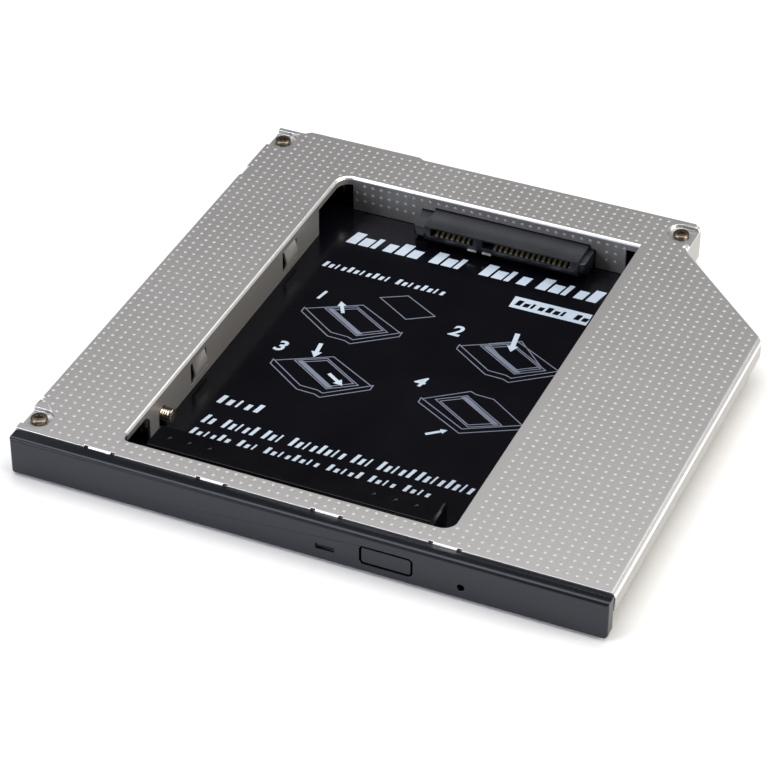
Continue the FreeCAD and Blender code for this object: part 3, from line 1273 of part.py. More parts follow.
make_cover()
make_tray()
make_rail()
make_film()
make_bezel()
make_button()
make_stop_bar()
make_stud()
make_board()
make_drive_connector()
make_drive_contacts()
make_host_connector()
make_host_contacts()
make_capacitors()
make_fasteners()
check_and_write()
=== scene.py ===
"""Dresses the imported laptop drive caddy: satin pressed steel with its field of embossed dots,
a printed insulating film, moulded front and stop bar, connectors, screws and a plain studio."""

import json
import math

import bmesh
import bpy
from mathutils import Matrix, Vector

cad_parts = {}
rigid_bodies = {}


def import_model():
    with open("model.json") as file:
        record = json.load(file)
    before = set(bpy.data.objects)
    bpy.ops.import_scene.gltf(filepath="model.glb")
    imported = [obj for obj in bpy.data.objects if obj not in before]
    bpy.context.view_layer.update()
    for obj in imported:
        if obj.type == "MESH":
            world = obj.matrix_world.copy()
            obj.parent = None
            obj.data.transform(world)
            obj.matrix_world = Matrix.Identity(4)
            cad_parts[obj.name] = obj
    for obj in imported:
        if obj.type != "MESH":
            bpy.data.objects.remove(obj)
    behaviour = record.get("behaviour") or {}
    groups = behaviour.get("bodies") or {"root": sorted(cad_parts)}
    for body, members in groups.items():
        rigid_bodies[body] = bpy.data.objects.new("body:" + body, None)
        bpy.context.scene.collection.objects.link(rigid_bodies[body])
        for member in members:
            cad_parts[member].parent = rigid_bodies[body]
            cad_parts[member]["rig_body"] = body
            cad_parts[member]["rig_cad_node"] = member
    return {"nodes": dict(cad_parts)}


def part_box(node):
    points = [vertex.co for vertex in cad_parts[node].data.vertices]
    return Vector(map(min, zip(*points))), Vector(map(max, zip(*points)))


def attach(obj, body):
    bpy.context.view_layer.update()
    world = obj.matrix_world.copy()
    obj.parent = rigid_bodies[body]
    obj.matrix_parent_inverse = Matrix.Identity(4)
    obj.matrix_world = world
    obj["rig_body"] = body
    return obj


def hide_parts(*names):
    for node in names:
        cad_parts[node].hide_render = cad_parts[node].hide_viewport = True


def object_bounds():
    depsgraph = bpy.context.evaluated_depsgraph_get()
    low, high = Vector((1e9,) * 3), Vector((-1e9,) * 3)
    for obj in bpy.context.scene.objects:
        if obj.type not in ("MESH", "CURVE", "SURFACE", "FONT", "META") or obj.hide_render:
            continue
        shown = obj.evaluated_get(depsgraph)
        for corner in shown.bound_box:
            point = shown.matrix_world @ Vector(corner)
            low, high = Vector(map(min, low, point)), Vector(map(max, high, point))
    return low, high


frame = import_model()
CAD_BOX = [list(corner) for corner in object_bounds()]

bl_info = {
    "name": "Laptop drive caddy",
    "version": (1, 0, 0),
    "blender": (4, 5, 0),
    "location": "View3D > Sidebar > Caddy",
    "description": "Models and finishes the pieces of a laptop drive caddy around its CAD solids",
    "category": "Object",
}

MM = 0.001

# Places are given from the caddy's own corner: u to the right, v to the rear, w up.
CORNER = Vector(CAD_BOX[0])


def at(u, v, w):
    """A place on the caddy, in millimetres from its front left bottom corner."""
    return CORNER + Vector((u, v, w)) * MM


def linear(code):
    """The linear colour of an sRGB hex code."""
    parts = [int(code[i : i + 2], 16) / 255 for i in (1, 3, 5)]
    return tuple(c / 12.92 if c <= 0.04045 else ((c + 0.055) / 1.055) ** 2.4 for c in parts)


# What a user may change


def length(title, text, millimetres):
    """A length that shows in the sidebar."""
    return bpy.props.FloatProperty(
        name=title,
        description=text,
        default=millimetres * MM,
        min=0.0,
        unit="LENGTH",
        subtype="DISTANCE",
        precision=5,
    )


def colour(title, text, code):
    """A colour that shows in the sidebar."""
    return bpy.props.FloatVectorProperty(
        name=title, description=text, default=linear(code), min=0.0, max=1.0, size=3, subtype="COLOR"
    )


class CaddySizes(bpy.types.PropertyGroup):
    """Sizes of what the scene adds to the solids."""

    dot_spacing: length("Dot spacing", "Distance between the cover's embossed dots", 2.0094)
    dot_radius: length("Dot radius", "Radius of a dot's foot", 0.42)
    dot_rise: length("Dot rise", "Height of a dot above the sheet", 0.055)
    sheet_edge: length("Sheet edge", "Rounding left on the edges of the pressed sheets", 0.07)
    lip_round: length("Lip rounding", "Rounding of the cover's front lips", 0.4)
    moulding_edge: length("Moulding edge", "Rounding of the edges of the plastic mouldings", 0.12)
    thread_pitch: length("Thread pitch", "Pitch of the locating stud", 0.5)
    print_line: length("Print line", "Width of a line in the printed drawings", 0.25)
    print_rise: length("Print rise", "Thickness of one layer of ink", 0.01)


class CaddyColours(bpy.types.PropertyGroup):
    """Main colours of the caddy."""

    steel: colour("Steel", "Pressed cover", "#B5B3B2")
    tray: colour("Tray", "Folded tray and rail", "#C2BEB8")
    moulding: colour("Mouldings", "Bezel and button", "#0A0B11")
    bar: colour("Stop bar", "Glossy stop bar", "#050508")
    film: colour("Film", "Insulating film", "#05050A")
    ink: colour("Ink", "Print on the film", "#C5D2DE")
    drawing: colour("Drawing ink", "Lines of the printed drawings", "#7A8192")


# Modelling

# Points closer than this are one point, and a point this near a plane is on it, in metres.
SAME_PLACE = 2e-6
NEAR = 1e-5
# An edge is sharp where its faces turn by more than this, and two edges are in line within the other angle.
SHARP = math.radians(35)
IN_LINE = math.radians(28)
# Faces that turn by less than this are one flat, in the solid's mesh and then beside its rounded edges.
FLAT_IN_SOLID = math.radians(0.5)
FLAT_WHEN_EASED = math.radians(0.2)


def deselect_all():
    """Nothing selected and object mode, before the next piece."""
    if bpy.context.object and bpy.context.object.mode != "OBJECT":
        bpy.ops.object.mode_set(mode="OBJECT")
    bpy.ops.object.select_all(action="DESELECT")


def pick(*pieces):
    """Select these pieces alone, the first of them active."""
    deselect_all()
    for piece in pieces:
        piece.select_set(True)
    bpy.context.view_layer.objects.active = pieces[0]


def settle(piece, name):
    """Name a piece and put its place, turn and size into its mesh."""
    pick(piece)
    bpy.ops.object.transform_apply(location=True, rotation=True, scale=True)
    piece.name = piece.data.name = name
    return piece


def choose(piece, kind, test):
    """Select, in edit mode, the faces, edges or vertices that pass a test, and nothing else."""
    pick(piece)
    bpy.ops.object.mode_set(mode="EDIT")
    bpy.ops.mesh.select_mode(type={"faces": "FACE", "edges": "EDGE", "verts": "VERT"}[kind])
    bpy.ops.mesh.select_all(action="DESELECT")
    mesh = bmesh.from_edit_mesh(piece.data)
    for element in getattr(mesh, kind):
        if test(element):
            element.select_set(True)
    mesh.select_flush_mode()
    bmesh.update_edit_mesh(piece.data)


def choose_all(piece):
    """Select every face of a piece, in edit mode."""
    choose(piece, "faces", lambda face: True)


def choose_facing(piece, way):
    """Select, in edit mode, the faces that look one way."""
    choose(piece, "faces", lambda face: face.normal.dot(Vector(way)) > 0.9)


def close(piece, smooth=30):
    """Leave edit mode and shade smooth, apart from edges that turn by more than this many degrees."""
    pick(piece)
    bpy.ops.object.shade_smooth_by_angle(angle=math.radians(smooth))
    return piece


def apply_modifier(piece, kind, **settings):
    """Add one modifier to a piece and apply it."""
    pick(piece)
    modifier = piece.modifiers.new(kind.title(), kind)
    for setting, value in settings.items():
        setattr(modifier, setting, value)
    bpy.ops.object.modifier_apply(modifier=modifier.name)


def grazed(edge):
    """Whether another edge nearly in line with this one meets it, where a rounding would run wild."""
    for vertex in edge.verts:
        along = edge.other_vert(vertex).co - vertex.co
        for other in vertex.link_edges:
            if other is not edge and along.angle(other.other_vert(vertex).co - vertex.co) < IN_LINE:
                return True
    return False


def ease_edges(piece, width, segments=2):
    """Round the sharp edges of a piece."""

    def sharp(edge):
        return len(edge.link_faces) == 2 and edge.calc_face_angle() > SHARP and not grazed(edge)

    choose(piece, "edges", sharp)
    bpy.ops.mesh.bevel(offset=width, segments=segments, affect="EDGES", clamp_overlap=False)
    bpy.ops.object.mode_set(mode="OBJECT")


def finished_copy(node, name, width, segments=2, shaping=None):
    """A copy of a CAD node: triangles merged to whole faces, shaped further, and edges eased."""
    piece = frame["nodes"][node].copy()
    piece.data = piece.data.copy()
    piece.parent = None
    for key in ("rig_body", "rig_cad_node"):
        del piece[key]
    bpy.context.scene.collection.objects.link(piece)
    piece.name = piece.data.name = name
    piece.data.materials.clear()
    pick(piece)
    bpy.ops.object.mode_set(mode="EDIT")
    bpy.ops.mesh.select_all(action="SELECT")
    bpy.ops.mesh.remove_doubles(threshold=SAME_PLACE)
    bpy.ops.mesh.dissolve_limited(angle_limit=FLAT_IN_SOLID)
    bpy.ops.object.mode_set(mode="OBJECT")
    if shaping:
        shaping(piece)
    ease_edges(piece, width, segments)
    choose_all(piece)
    bpy.ops.mesh.dissolve_limited(angle_limit=FLAT_WHEN_EASED)
    bpy.ops.mesh.quads_convert_to_tris(quad_method="BEAUTY", ngon_method="BEAUTY")
    bpy.ops.object.mode_set(mode="OBJECT")
    close(piece)
    apply_modifier(piece, "WEIGHTED_NORMAL", keep_sharp=True, weight=100)
    return piece


def block(low, high, name="block"):
    """A plain block between two corners, to be shaped further."""
    deselect_all()
    bpy.ops.mesh.primitive_cube_add(size=1, location=(low + high) / 2, scale=high - low)
    return settle(bpy.context.object, name)


def join(pieces, name):
    """Several meshes as one piece."""
    pick(*pieces)
    bpy.ops.object.join()
    return settle(bpy.context.object, name)


def copy_to(piece, shift, name):
    """A copy of a finished piece with its own mesh, moved by a shift."""
    other = piece.copy()
    other.data = piece.data.copy()
    other.data.transform(Matrix.Translation(shift))
    other.name = other.data.name = name
    bpy.context.scene.collection.objects.link(other)
    return other


def dress(piece, surface, body=None, replaced=()):
    """Give a piece its material, and say what it rides on, and hide the CAD nodes that it stands in for."""
    piece.data.materials.clear()
    piece.data.materials.append(surface)
    if body:
        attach(piece, body)
    if replaced:
        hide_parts(*replaced)
    return piece


# Materials


def add_node(tree, kind, inputs=(), **settings):
    """Add a node, set it and fill its inputs: a (node, output) pair is linked, any other value is set."""
    node = tree.nodes.new(kind)
    for setting, value in settings.items():
        setattr(node, setting, value)
    for socket, value in dict(inputs).items():
        if isinstance(value, tuple) and isinstance(value[0], bpy.types.Node):
            tree.links.new(value[0].outputs[value[1]], node.inputs[socket])
        else:
            node.inputs[socket].default_value = value
    return node


def per_metre(millimetres):
    """The scale of a pattern whose repeats are this many millimetres apart."""
    return 1000.0 / millimetres


def spread(tree, source, low=0.0, high=1.0, usual=(0.3, 0.7)):
    """Take a value from its usual range on to another, and hold it there."""
    return add_node(
        tree, "ShaderNodeMapRange",
        {"Value": source, "From Min": usual[0], "From Max": usual[1], "To Min": low, "To Max": high},
    )


def mixed(tree, share, first, second):
    """Two colours, mixed by a share."""
    return add_node(tree, "ShaderNodeMix", {0: share, 6: first, 7: second}, data_type="RGBA")


# How far a face may look up or down and still be a wall, and from where it is a flat; the faces between, the
# sheet's folds and sloped steps, take the painted highlight.
OFF_WALL = (0.05, 0.35)
OFF_FLAT = (0.99, 0.93)


def finish(
    name, main, other, roughness, patch, grain, depth,
    metallic=0.0, stretch=(1, 1, 1), speckle=0.08, painted_bend_highlight=None, **sockets
):
    """A worked surface: slow patches that shift its colour and its gloss, and a fine grain that lifts it.

    patch and grain are the sizes of the two in millimetres, depth is the grain's height in micrometres,
    roughness is the pair that the gloss drifts between, and speckle is how far the grain shifts the colour.
    The bend colour, when given, is a painted highlight: it is painted on where a sheet turns down from its
    flat, on its folds and sloped steps, for the light that they catch.
    """
    surface = bpy.data.materials.new(name)
    surface.use_nodes = True
    tree = surface.node_tree
    tree.nodes.clear()
    place = add_node(tree, "ShaderNodeTexCoord")
    turned = add_node(tree, "ShaderNodeMapping", {"Vector": (place, "Object"), "Scale": stretch})
    patches = add_node(
        tree, "ShaderNodeTexNoise",
        {"Vector": (place, "Object"), "Scale": per_metre(patch), "Detail": 4.0, "Roughness": 0.55},
    )
    fine = add_node(
        tree, "ShaderNodeTexNoise",
        {"Vector": (turned, "Vector"), "Scale": per_metre(grain), "Detail": 2.0, "Roughness": 0.6},
    )
    blend = mixed(tree, (patches, "Fac"), (*main, 1.0), (*other, 1.0))
    tint = spread(tree, (fine, "Fac"), 1 - speckle, 1 + speckle)
    shade = add_node(
        tree, "ShaderNodeVectorMath", {0: (blend, 2), 1: (tint, "Result")}, operation="MULTIPLY"
    )
    colour_of = (shade, "Vector")
    # Painted highlight: faces that slope between wall and flat take the bend colour.
    if painted_bend_highlight:
        facing = add_node(tree, "ShaderNodeSeparateXYZ", {"Vector": (place, "Normal")})
        level = add_node(tree, "ShaderNodeMath", {0: (facing, "Z")}, operation="ABSOLUTE")
        off_wall = spread(tree, (level, "Value"), usual=OFF_WALL)
        off_flat = spread(tree, (level, "Value"), usual=OFF_FLAT)
        painted_highlight_share = add_node(
            tree, "ShaderNodeMath", {0: (off_wall, "Result"), 1: (off_flat, "Result")}, operation="MULTIPLY"
        )
        bright = mixed(tree, (painted_highlight_share, "Value"), (shade, "Vector"), (*painted_bend_highlight, 1.0))
        colour_of = (bright, 2)
    gloss = spread(tree, (patches, "Fac"), *roughness)
    bump = add_node(
        tree, "ShaderNodeBump", {"Height": (fine, "Fac"), "Strength": 1.0, "Distance": depth * 1e-6}
    )
    shader = add_node(
        tree, "ShaderNodeBsdfPrincipled",
        {
            "Base Color": colour_of, "Roughness": (gloss, "Result"), "Normal": (bump, "Normal"),
            "Metallic": metallic, **sockets,
        },
    )
    add_node(tree, "ShaderNodeOutputMaterial", {"Surface": (shader, "BSDF")})
    return surface


# The finishes made so far, by name, so that pieces of one stock share one material.
stock = {}


def material(name):
    """One of the caddy's finishes, made when it is first asked for."""
    if name not in stock:
        stock[name] = FINISHES[name]()
    return stock[name]


def colours():
    """The scene's main colours."""
    return bpy.context.scene.caddy_colours


def pressed_cover_steel():
    """Zinc-plated sheet steel, pressed: satin, even grey, with a fine matt grain left by the press tool, and
    painted white where it is bent, a painted highlight.
    """
    return finish(
        "pressed zinc-plated steel", tuple(colours().steel), linear("#AFADAC"), (0.36, 0.39), 22, 0.35, 1.5,
        metallic=0.8, speckle=0.06, painted_bend_highlight=linear("#FFFFFF"),
    )


def dot_steel_painted_highlight():
    """The same steel where it is drawn over the punch, soft-edged crowns painted paler than the sheet: a
    painted highlight for the light that the domes catch.
    """
    return finish(
        "burnished steel crowns", linear("#C6C5C5"), linear("#BBBABA"), (0.58, 0.62), 8, 0.2, 0.5,
        metallic=0.8,
    )


def folded_tray_steel():
    """Cold-rolled sheet steel, folded: a little warmer, with faint rolling streaks from side to side, and
    painted pale cream where it is folded, a painted highlight.
    """
    return finish(
        "folded cold-rolled steel", tuple(colours().tray), linear("#B3AFA9"), (0.38, 0.46), 14, 0.4, 1.2,
        metallic=0.85, stretch=(0.12, 1, 1), speckle=0.05, painted_bend_highlight=linear("#F4F1EA"),
    )


def spark_finished_abs():
    """Moulded ABS from a spark-eroded tool: black, half gloss, with a grain of a quarter millimetre."""
    return finish(
        "spark-finished ABS", tuple(colours().moulding), linear("#0D0E15"), (0.27, 0.29), 12, 0.25, 2.0,
        IOR=1.53, **{"Specular Tint": (0.86, 0.89, 1.0, 1.0)},
    )


def polished_abs():
    """Moulded ABS from a polished tool: nearly black, glossy, with the slow waviness of a thin wall."""
    return finish(
        "polished ABS", tuple(colours().bar), linear("#07070B"), (0.12, 0.16), 9, 1.8, 1.5, IOR=1.4
    )


def polyester_film():
    """Extruded polyester film, printed solid: blue-black, with a low gloss, lying not quite flat."""
    return finish(
        "printed polyester film", tuple(colours().film), linear("#0A0A10"), (0.16, 0.2), 25, 14.0, 12.0,
        IOR=1.6, **{"Specular IOR Level": 0.17},
    )


def screen_ink():
    """Screen-printing ink: pale blue-grey, matt, a little uneven where the film shows through."""
    return finish(
        "screen-printed ink", tuple(colours().ink), linear("#AEBCCB"), (0.45, 0.6), 3, 0.3, 1.0, IOR=1.5
    )


def drawing_ink():
    """The same ink in a thinner pass: grey lines that the film darkens."""
    return finish(
        "thin screen-printed ink", tuple(colours().drawing), linear("#5C6272"), (0.45, 0.6), 3, 0.3, 1.0,
        IOR=1.5,
    )


def turned_nickel():
    """Turned and nickel-plated steel: warm, bright, with fine rings from the tool."""
    return finish(
        "turned nickel-plated steel", linear("#BDB4A6"), linear("#A79E90"), (0.22, 0.32), 3, 0.12, 1.0,
        metallic=1.0, stretch=(1, 0.3, 0.3),
    )


def passivated_screw():
    """Cold-headed steel, zinc-plated and passivated: dull brass grey, drifting darker in slow patches."""
    return finish(
        "passivated screw steel", linear("#8F8474"), linear("#6B6255"), (0.24, 0.32), 1.5, 0.15, 1.5,
        metallic=1.0,
    )


def turned_brass():
    """Turned brass: yellow, with rings from the tool."""
    return finish(
        "turned brass", linear("#C9A65C"), linear("#B08E48"), (0.25, 0.35), 4, 0.1, 1.0, metallic=1.0
    )


def solder_mask():
    """Glass-epoxy board under black solder mask: nearly black, lacquer gloss over a faint weave."""
    return finish(
        "black solder mask on glass epoxy", linear("#0C0F0E"), linear("#121614"), (0.25, 0.35), 6, 0.5, 3.0,
        IOR=1.55,
    )


def glass_filled_lcp():
    """Glass-filled liquid-crystal polymer, moulded: charcoal black, satin, with a streaky fibre grain."""
    return finish(
        "glass-filled LCP", linear("#14161C"), linear("#1B1D23"), (0.28, 0.36), 5, 0.3, 2.5,
        stretch=(0.3, 1, 1), IOR=1.6,
    )


def gold_flash():
    """Stamped phosphor bronze, thinly gold-flashed: pale yellow grey and smooth."""
    return finish(
        "gold-flashed bronze", linear("#E3D6B4"), linear("#CDBD93"), (0.3, 0.4), 1.0, 0.15, 0.6, metallic=0.9
    )


def fired_ceramic():
    """Fired barium-titanate ceramic of a chip capacitor: matt tan."""
    return finish(
        "fired tan ceramic", linear("#9A7B5B"), linear("#8B6C4E"), (0.55, 0.7), 0.8, 0.1, 2.0, IOR=1.6
    )


def tinned_tab():
    """Stamped and tin-plated bronze of the socket's tabs: bright and soft."""
    return finish(
        "tin-plated bronze", linear("#DADBDD"), linear("#CBCCD0"), (0.4, 0.5), 0.8, 0.2, 1.0, metallic=0.8
    )


FINISHES = {
    "cover": pressed_cover_steel,
    "dots": dot_steel_painted_highlight,
    "tray": folded_tray_steel,
    "moulding": spark_finished_abs,
    "bar": polished_abs,
    "film": polyester_film,
    "ink": screen_ink,
    "drawing": drawing_ink,
    "stud": turned_nickel,
    "screw": passivated_screw,
    "brass": turned_brass,
    "board": solder_mask,
    "connector": glass_filled_lcp,
    "gold": gold_flash,
    "ceramic": fired_ceramic,
    "tin": tinned_tab,
}


# The pieces


def sizes():
    """The scene's sizes."""
    return bpy.context.scene.caddy_sizes


def dot(centre, out):
    """One embossed dot: the cap of a ball, flattened, standing out from its sheet."""
    deselect_all()
    bpy.ops.mesh.primitive_uv_sphere_add(
        segments=8, ring_count=6, radius=sizes().dot_radius, location=centre
    )
    piece = bpy.context.object
    choose_all(piece)
    bpy.ops.mesh.bisect(plane_co=centre, plane_no=(0, 0, 1), clear_inner=True)
    bpy.ops.object.mode_set(mode="OBJECT")
    piece.scale.z = sizes().dot_rise / sizes().dot_radius
    piece.rotation_euler = out.to_track_quat("Z", "Y").to_euler()
    return settle(piece, "dot")


def keep_where(piece, per_copy, test):
    """Drop the copies of a repeated shape whose own place fails a test."""
    points = [vertex.co for vertex in piece.data.vertices]
    kept = []
    for start in range(0, len(points), per_copy):
        group = points[start : start + per_copy]
        kept.append(test(sum(group, Vector()) / per_copy))
    choose(piece, "verts", lambda vertex: not kept[vertex.index // per_copy])
    bpy.ops.mesh.delete(type="VERT")
    bpy.ops.object.mode_set(mode="OBJECT")


# A dot's foot starts this far below its sheet, and its sheet is flat where the ray down to it
# lands this near the field and on a face that looks this straight at it, all round the dot.
DOT_SUNK = 0.002 * MM
FLAT_WITHIN = 0.003 * MM
FACING = 0.999
ROUND_DOT = 1.6


def dot_field(sheet, first, across, along, name):
    """A square field of dots struck in a sheet, kept wherever the sheet is flat all round the dot.

    first is the field's first dot on the sheet, and across and along run from there over the whole field.
    """
    spacing, reach = sizes().dot_spacing, sizes().dot_radius * ROUND_DOT
    ways = across.normalized(), along.normalized()
    out = ways[0].cross(ways[1])
    field = dot(first - out * DOT_SUNK, out)
    per_copy = len(field.data.vertices)
    for way, span in zip(ways, (across.length, along.length)):
        apply_modifier(
            field, "ARRAY", count=int(span / spacing) + 1, use_relative_offset=False,
            use_constant_offset=True, constant_offset_displace=way * spacing,
        )

    def flat_all_round(place):
        for right, up in ((0, 0), (reach, 0), (-reach, 0), (0, reach), (0, -reach)):
            hit, point, normal, _ = sheet.ray_cast(place + ways[0] * right + ways[1] * up + out * MM, -out)
            if not hit or abs((point - first).dot(out)) > FLAT_WITHIN or normal.dot(out) < FACING:
                return False
        return True

    keep_where(field, per_copy, flat_all_round)
    field.name = field.data.name = name
    return close(field, 60)


# The cover's front lips are the lengths of its front edge that are shorter than this, in millimetres.
LONGEST_LIP = 6
# The first dot, from the cover's left and front edges, and the depth of the wall dots' upper row.
FIRST_DOT = (0.904, 0.116)
WALL_ROW_DEPTH = 1.8


class CADDY_OT_cover(bpy.types.Operator):
    """Finish the pressed cover and strike the fields of embossed dots on its top and in its rear wall"""

    bl_idname = "caddy.cover"
    bl_label = "Cover"

    def execute(self, context):
        low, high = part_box("top_cover")

        def on_front_edge(vertex):
            return vertex.co.y < low.y + NEAR and vertex.co.z > high.z - NEAR

        def of_lip(edge):
            return edge.calc_length() < LONGEST_LIP * MM and all(on_front_edge(end) for end in edge.verts)

        def round_lips(piece):
            choose(piece, "edges", of_lip)
            bpy.ops.mesh.bevel(offset=sizes().lip_round, segments=3, affect="EDGES")
            bpy.ops.mesh.select_all(action="SELECT")
            bpy.ops.mesh.remove_doubles(threshold=SAME_PLACE)
            bpy.ops.object.mode_set(mode="OBJECT")

        cover = finished_copy("top_cover", "cover", sizes().sheet_edge, shaping=round_lips)
        dress(cover, material("cover"), "chassis", ["top_cover"])
        width, depth = Vector((high.x - low.x, 0, 0)), Vector((0, high.y - low.y, 0))
        first = Vector((low.x + FIRST_DOT[0] * MM, low.y + FIRST_DOT[1] * MM, high.z))
        top_dots = dot_field(cover, first, width, depth, "cover_dots")

        above_connector = Vector((0, 0, high.z - WALL_ROW_DEPTH * MM))
        _, wall, _, _ = cover.ray_cast(above_connector, Vector((0, 1, 0)))
        first = Vector((first.x, wall.y, above_connector.z - 2 * sizes().dot_spacing))
        wall_dots = dot_field(cover, first, width, Vector((0, 0, high.z - first.z)), "rear_wall_dots")
        for piece in (top_dots, wall_dots):
            dress(piece, material("dots"), "chassis")
        return {"FINISHED"}


class CADDY_OT_tray(bpy.types.Operator):
    """Finish the folded tray and the rail on its floor"""

    bl_idname = "caddy.tray"
    bl_label = "Tray and rail"

    def execute(self, context):
        for node, name in (("base_tray", "tray"), ("bay_rail", "rail")):
            piece = finished_copy(node, name, sizes().sheet_edge)
            dress(piece, material("tray"), "chassis", [node])
        return {"FINISHED"}


# The print on the film, in millimetres to the right and to the rear of the caddy's front left corner.

# Rows of plain blocks in place of words: the row's foot, its height, the blocks' spacing, their share
# of it, and where each group starts and how many blocks it has.
PRINTED_ROWS = (
    (103.2, 4.7, 2.95, 0.80, ((28.0, 6), (48.0, 3), (60.0, 4), (73.4, 5))),
    (92.4, 2.1, 1.50, 0.55, ((27.0, 11), (44.6, 8))),
    (37.4, 2.9, 2.10, 0.50, ((27.8, 5),)),
    (30.0, 3.0, 1.60, 0.50, ((27.8, 2), (32.4, 5), (41.5, 3), (47.6, 8), (61.5, 3), (67.3, 5), (75.8, 8))),
    (24.9, 3.0, 1.60, 0.50, ((27.1, 6), (37.9, 3), (43.9, 8), (57.9, 5), (67.1, 4), (74.7, 4))),
)
# The forms of the blocks, in shares of their width and height, and how far one leans over its height.
BLOCK_FORMS = ((1.0, 1.0), (1.05, 0.7), (0.5, 0.9), (0.95, 0.7))
BLOCK_LEAN = 0.22
# The pale label beside the title, and the row of dark blocks left open in it.
LABEL = ((70.7, 94.4), (88.6, 94.4), (88.6, 98.7), (70.7, 98.7))
LABEL_ROW = (95.5, 2.1, 1.75, 0.70, ((71.6, 7), (85.2, 2)))
# A figure's lean, how far its strokes are thickened in millimetres, and its height over its type size.
FIGURE_LEAN, FIGURE_BOLD, FIGURE_HEIGHT = 0.2, 0.12, 0.73
# The numbers of the four steps: where each stands, and its height.
STEP_NUMBERS = (
    ("1", 30.4, 80.5, 3.3),
    ("2", 62.4, 79.5, 3.9),
    ("3", 30.2, 59.4, 3.7),
    ("4", 62.6, 59.6, 3.4),
)
# One step's drawing of the caddy, seen from over a corner and starting at its left corner: tray, bay,
# and the strip of the stop bar in the bay. The fourth step is drawn from the other side.
DRAWN_TRAY = ((0, 0), (8.9, -6.1), (13.0, -6.2), (14.4, -6.8), (22.9, -0.2), (11.2, 6.3))
DRAWN_BAY = ((3.9, 1.7), (14.5, -5.1), (20.3, -1.1), (10.3, 5.2))
DRAWN_STRIP = ((4.8, 1.7), (14.5, -4.6), (15.5, -3.9), (5.8, 2.3))
# The depth of the drawn tray, and its bay's inner edge as a share of the outer one.
DRAWN_DEPTH = 1.3
DRAWN_INNER = 0.86
# Where each step's drawing starts, and whether it is the one from the other side.
STEPS = ((30.4, 75.9, False), (66.5, 76.6, False), (32.4, 55.8, False), (66.4, 55.6, True))
# The drives drawn beside or in the tray.
DRIVES = (
    ((43.6, 86.2), (52.2, 80.7), (57.8, 84.4), (49.2, 89.4)),
    ((71.8, 79.7), (80.1, 72.6), (85.4, 76.3), (78.1, 83.5)),
)
# Arrows: tail, tip, width of the shaft and of the head. A head's length is this share of its width.
ARROW_HEAD = 0.85
ARROWS = (
    ((38.8, 77.5), (36.7, 81.4), 0.8, 2.0),
    ((76.3, 85.6), (77.3, 78.8), 1.1, 2.5),
    ((39.2, 65.3), (39.8, 60.1), 0.9, 2.4),
    ((45.2, 56.0), (49.5, 53.2), 0.8, 2.2),
    ((71.9, 44.8), (75.6, 47.8), 0.7, 1.6),
)


# How far the dark flap of film reaches in under the board, painted shade over the strip of tray in the
# board's shadow, and the rounding of its edges.
FLAP_DEPTH = 3.0
FLAP_EDGE = 0.03


def on_film(place, layer=0):
    """A place on the film, or on one of the layers of ink above it."""
    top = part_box("floor_film")[1].z
    return Vector((CORNER.x + place[0] * MM, CORNER.y + place[1] * MM, top + layer * sizes().print_rise))


def printed(corners, layer, line=0.0):
    """A printed shape: filled, or only a line round its inside, as high as its layer of ink."""
    deselect_all()
    bpy.ops.mesh.primitive_circle_add(vertices=len(corners), fill_type="NGON", radius=MM)
    piece = bpy.context.object
    choose_all(piece)
    mesh = bmesh.from_edit_mesh(piece.data)
    for vertex, corner in zip(mesh.verts, corners):
        vertex.co = on_film(corner, -1)
    bmesh.update_edit_mesh(piece.data)
    if line:
        bpy.ops.mesh.inset(thickness=line)
        bpy.ops.mesh.delete(type="FACE")
        bpy.ops.mesh.select_all(action="SELECT")
    rise = (layer + 1) * sizes().print_rise
    bpy.ops.mesh.extrude_region_move(TRANSFORM_OT_translate={"value": (0, 0, rise)})
    bpy.ops.mesh.select_all(action="SELECT")
    bpy.ops.mesh.normals_make_consistent(inside=False)
    bpy.ops.object.mode_set(mode="OBJECT")
    return settle(piece, "print")


def printed_row(foot, height, spacing, share, groups):
    """A row of slanted blocks, tall, short and narrow, in groups: each form is modelled once and copied."""
    blocks = []
    for wide, tall in BLOCK_FORMS:
        right, up, lean = spacing * share * wide, height * tall, height * tall * BLOCK_LEAN
        corners = ((0, foot), (right, foot), (right + lean, foot + up), (lean, foot + up))
        blocks.append(printed(corners, 3))
    copies = []
    for start, count in groups:
        for number in range(count):
            shift = Vector((start + number * spacing, 0, 0)) * MM
            copies.append(copy_to(blocks[number % len(blocks)], shift, "block"))
    for piece in blocks:
        bpy.data.objects.remove(piece)
    return copies


def printed_number(figure, right, foot, height):
    """One figure, leaning and bold."""
    deselect_all()
    bpy.ops.object.text_add(location=on_film((right, foot), 1))
    piece = bpy.context.object
    piece.data.body = figure
    piece.data.size = height * MM / FIGURE_HEIGHT
    piece.data.shear = FIGURE_LEAN
    piece.data.offset = FIGURE_BOLD * MM
    piece.data.extrude = 2 * sizes().print_rise
    bpy.ops.object.convert(target="MESH")
    choose_all(piece)
    bpy.ops.mesh.remove_doubles(threshold=SAME_PLACE)
    bpy.ops.object.mode_set(mode="OBJECT")
    return settle(piece, "figure")


def printed_arrow(tail, tip, width, head):
    """A straight arrow from its tail to its tip."""
    tail, tip = Vector(tail), Vector(tip)
    along = (tip - tail).normalized()
    across = Vector((-along.y, along.x))
    neck = tip - along * head * ARROW_HEAD
    half = [tail + across * width / 2, neck + across * width / 2, neck + across * head / 2]
    other = [tail - across * width / 2, neck - across * width / 2, neck - across * head / 2]
    return printed([*half, tip, *reversed(other)], 4)


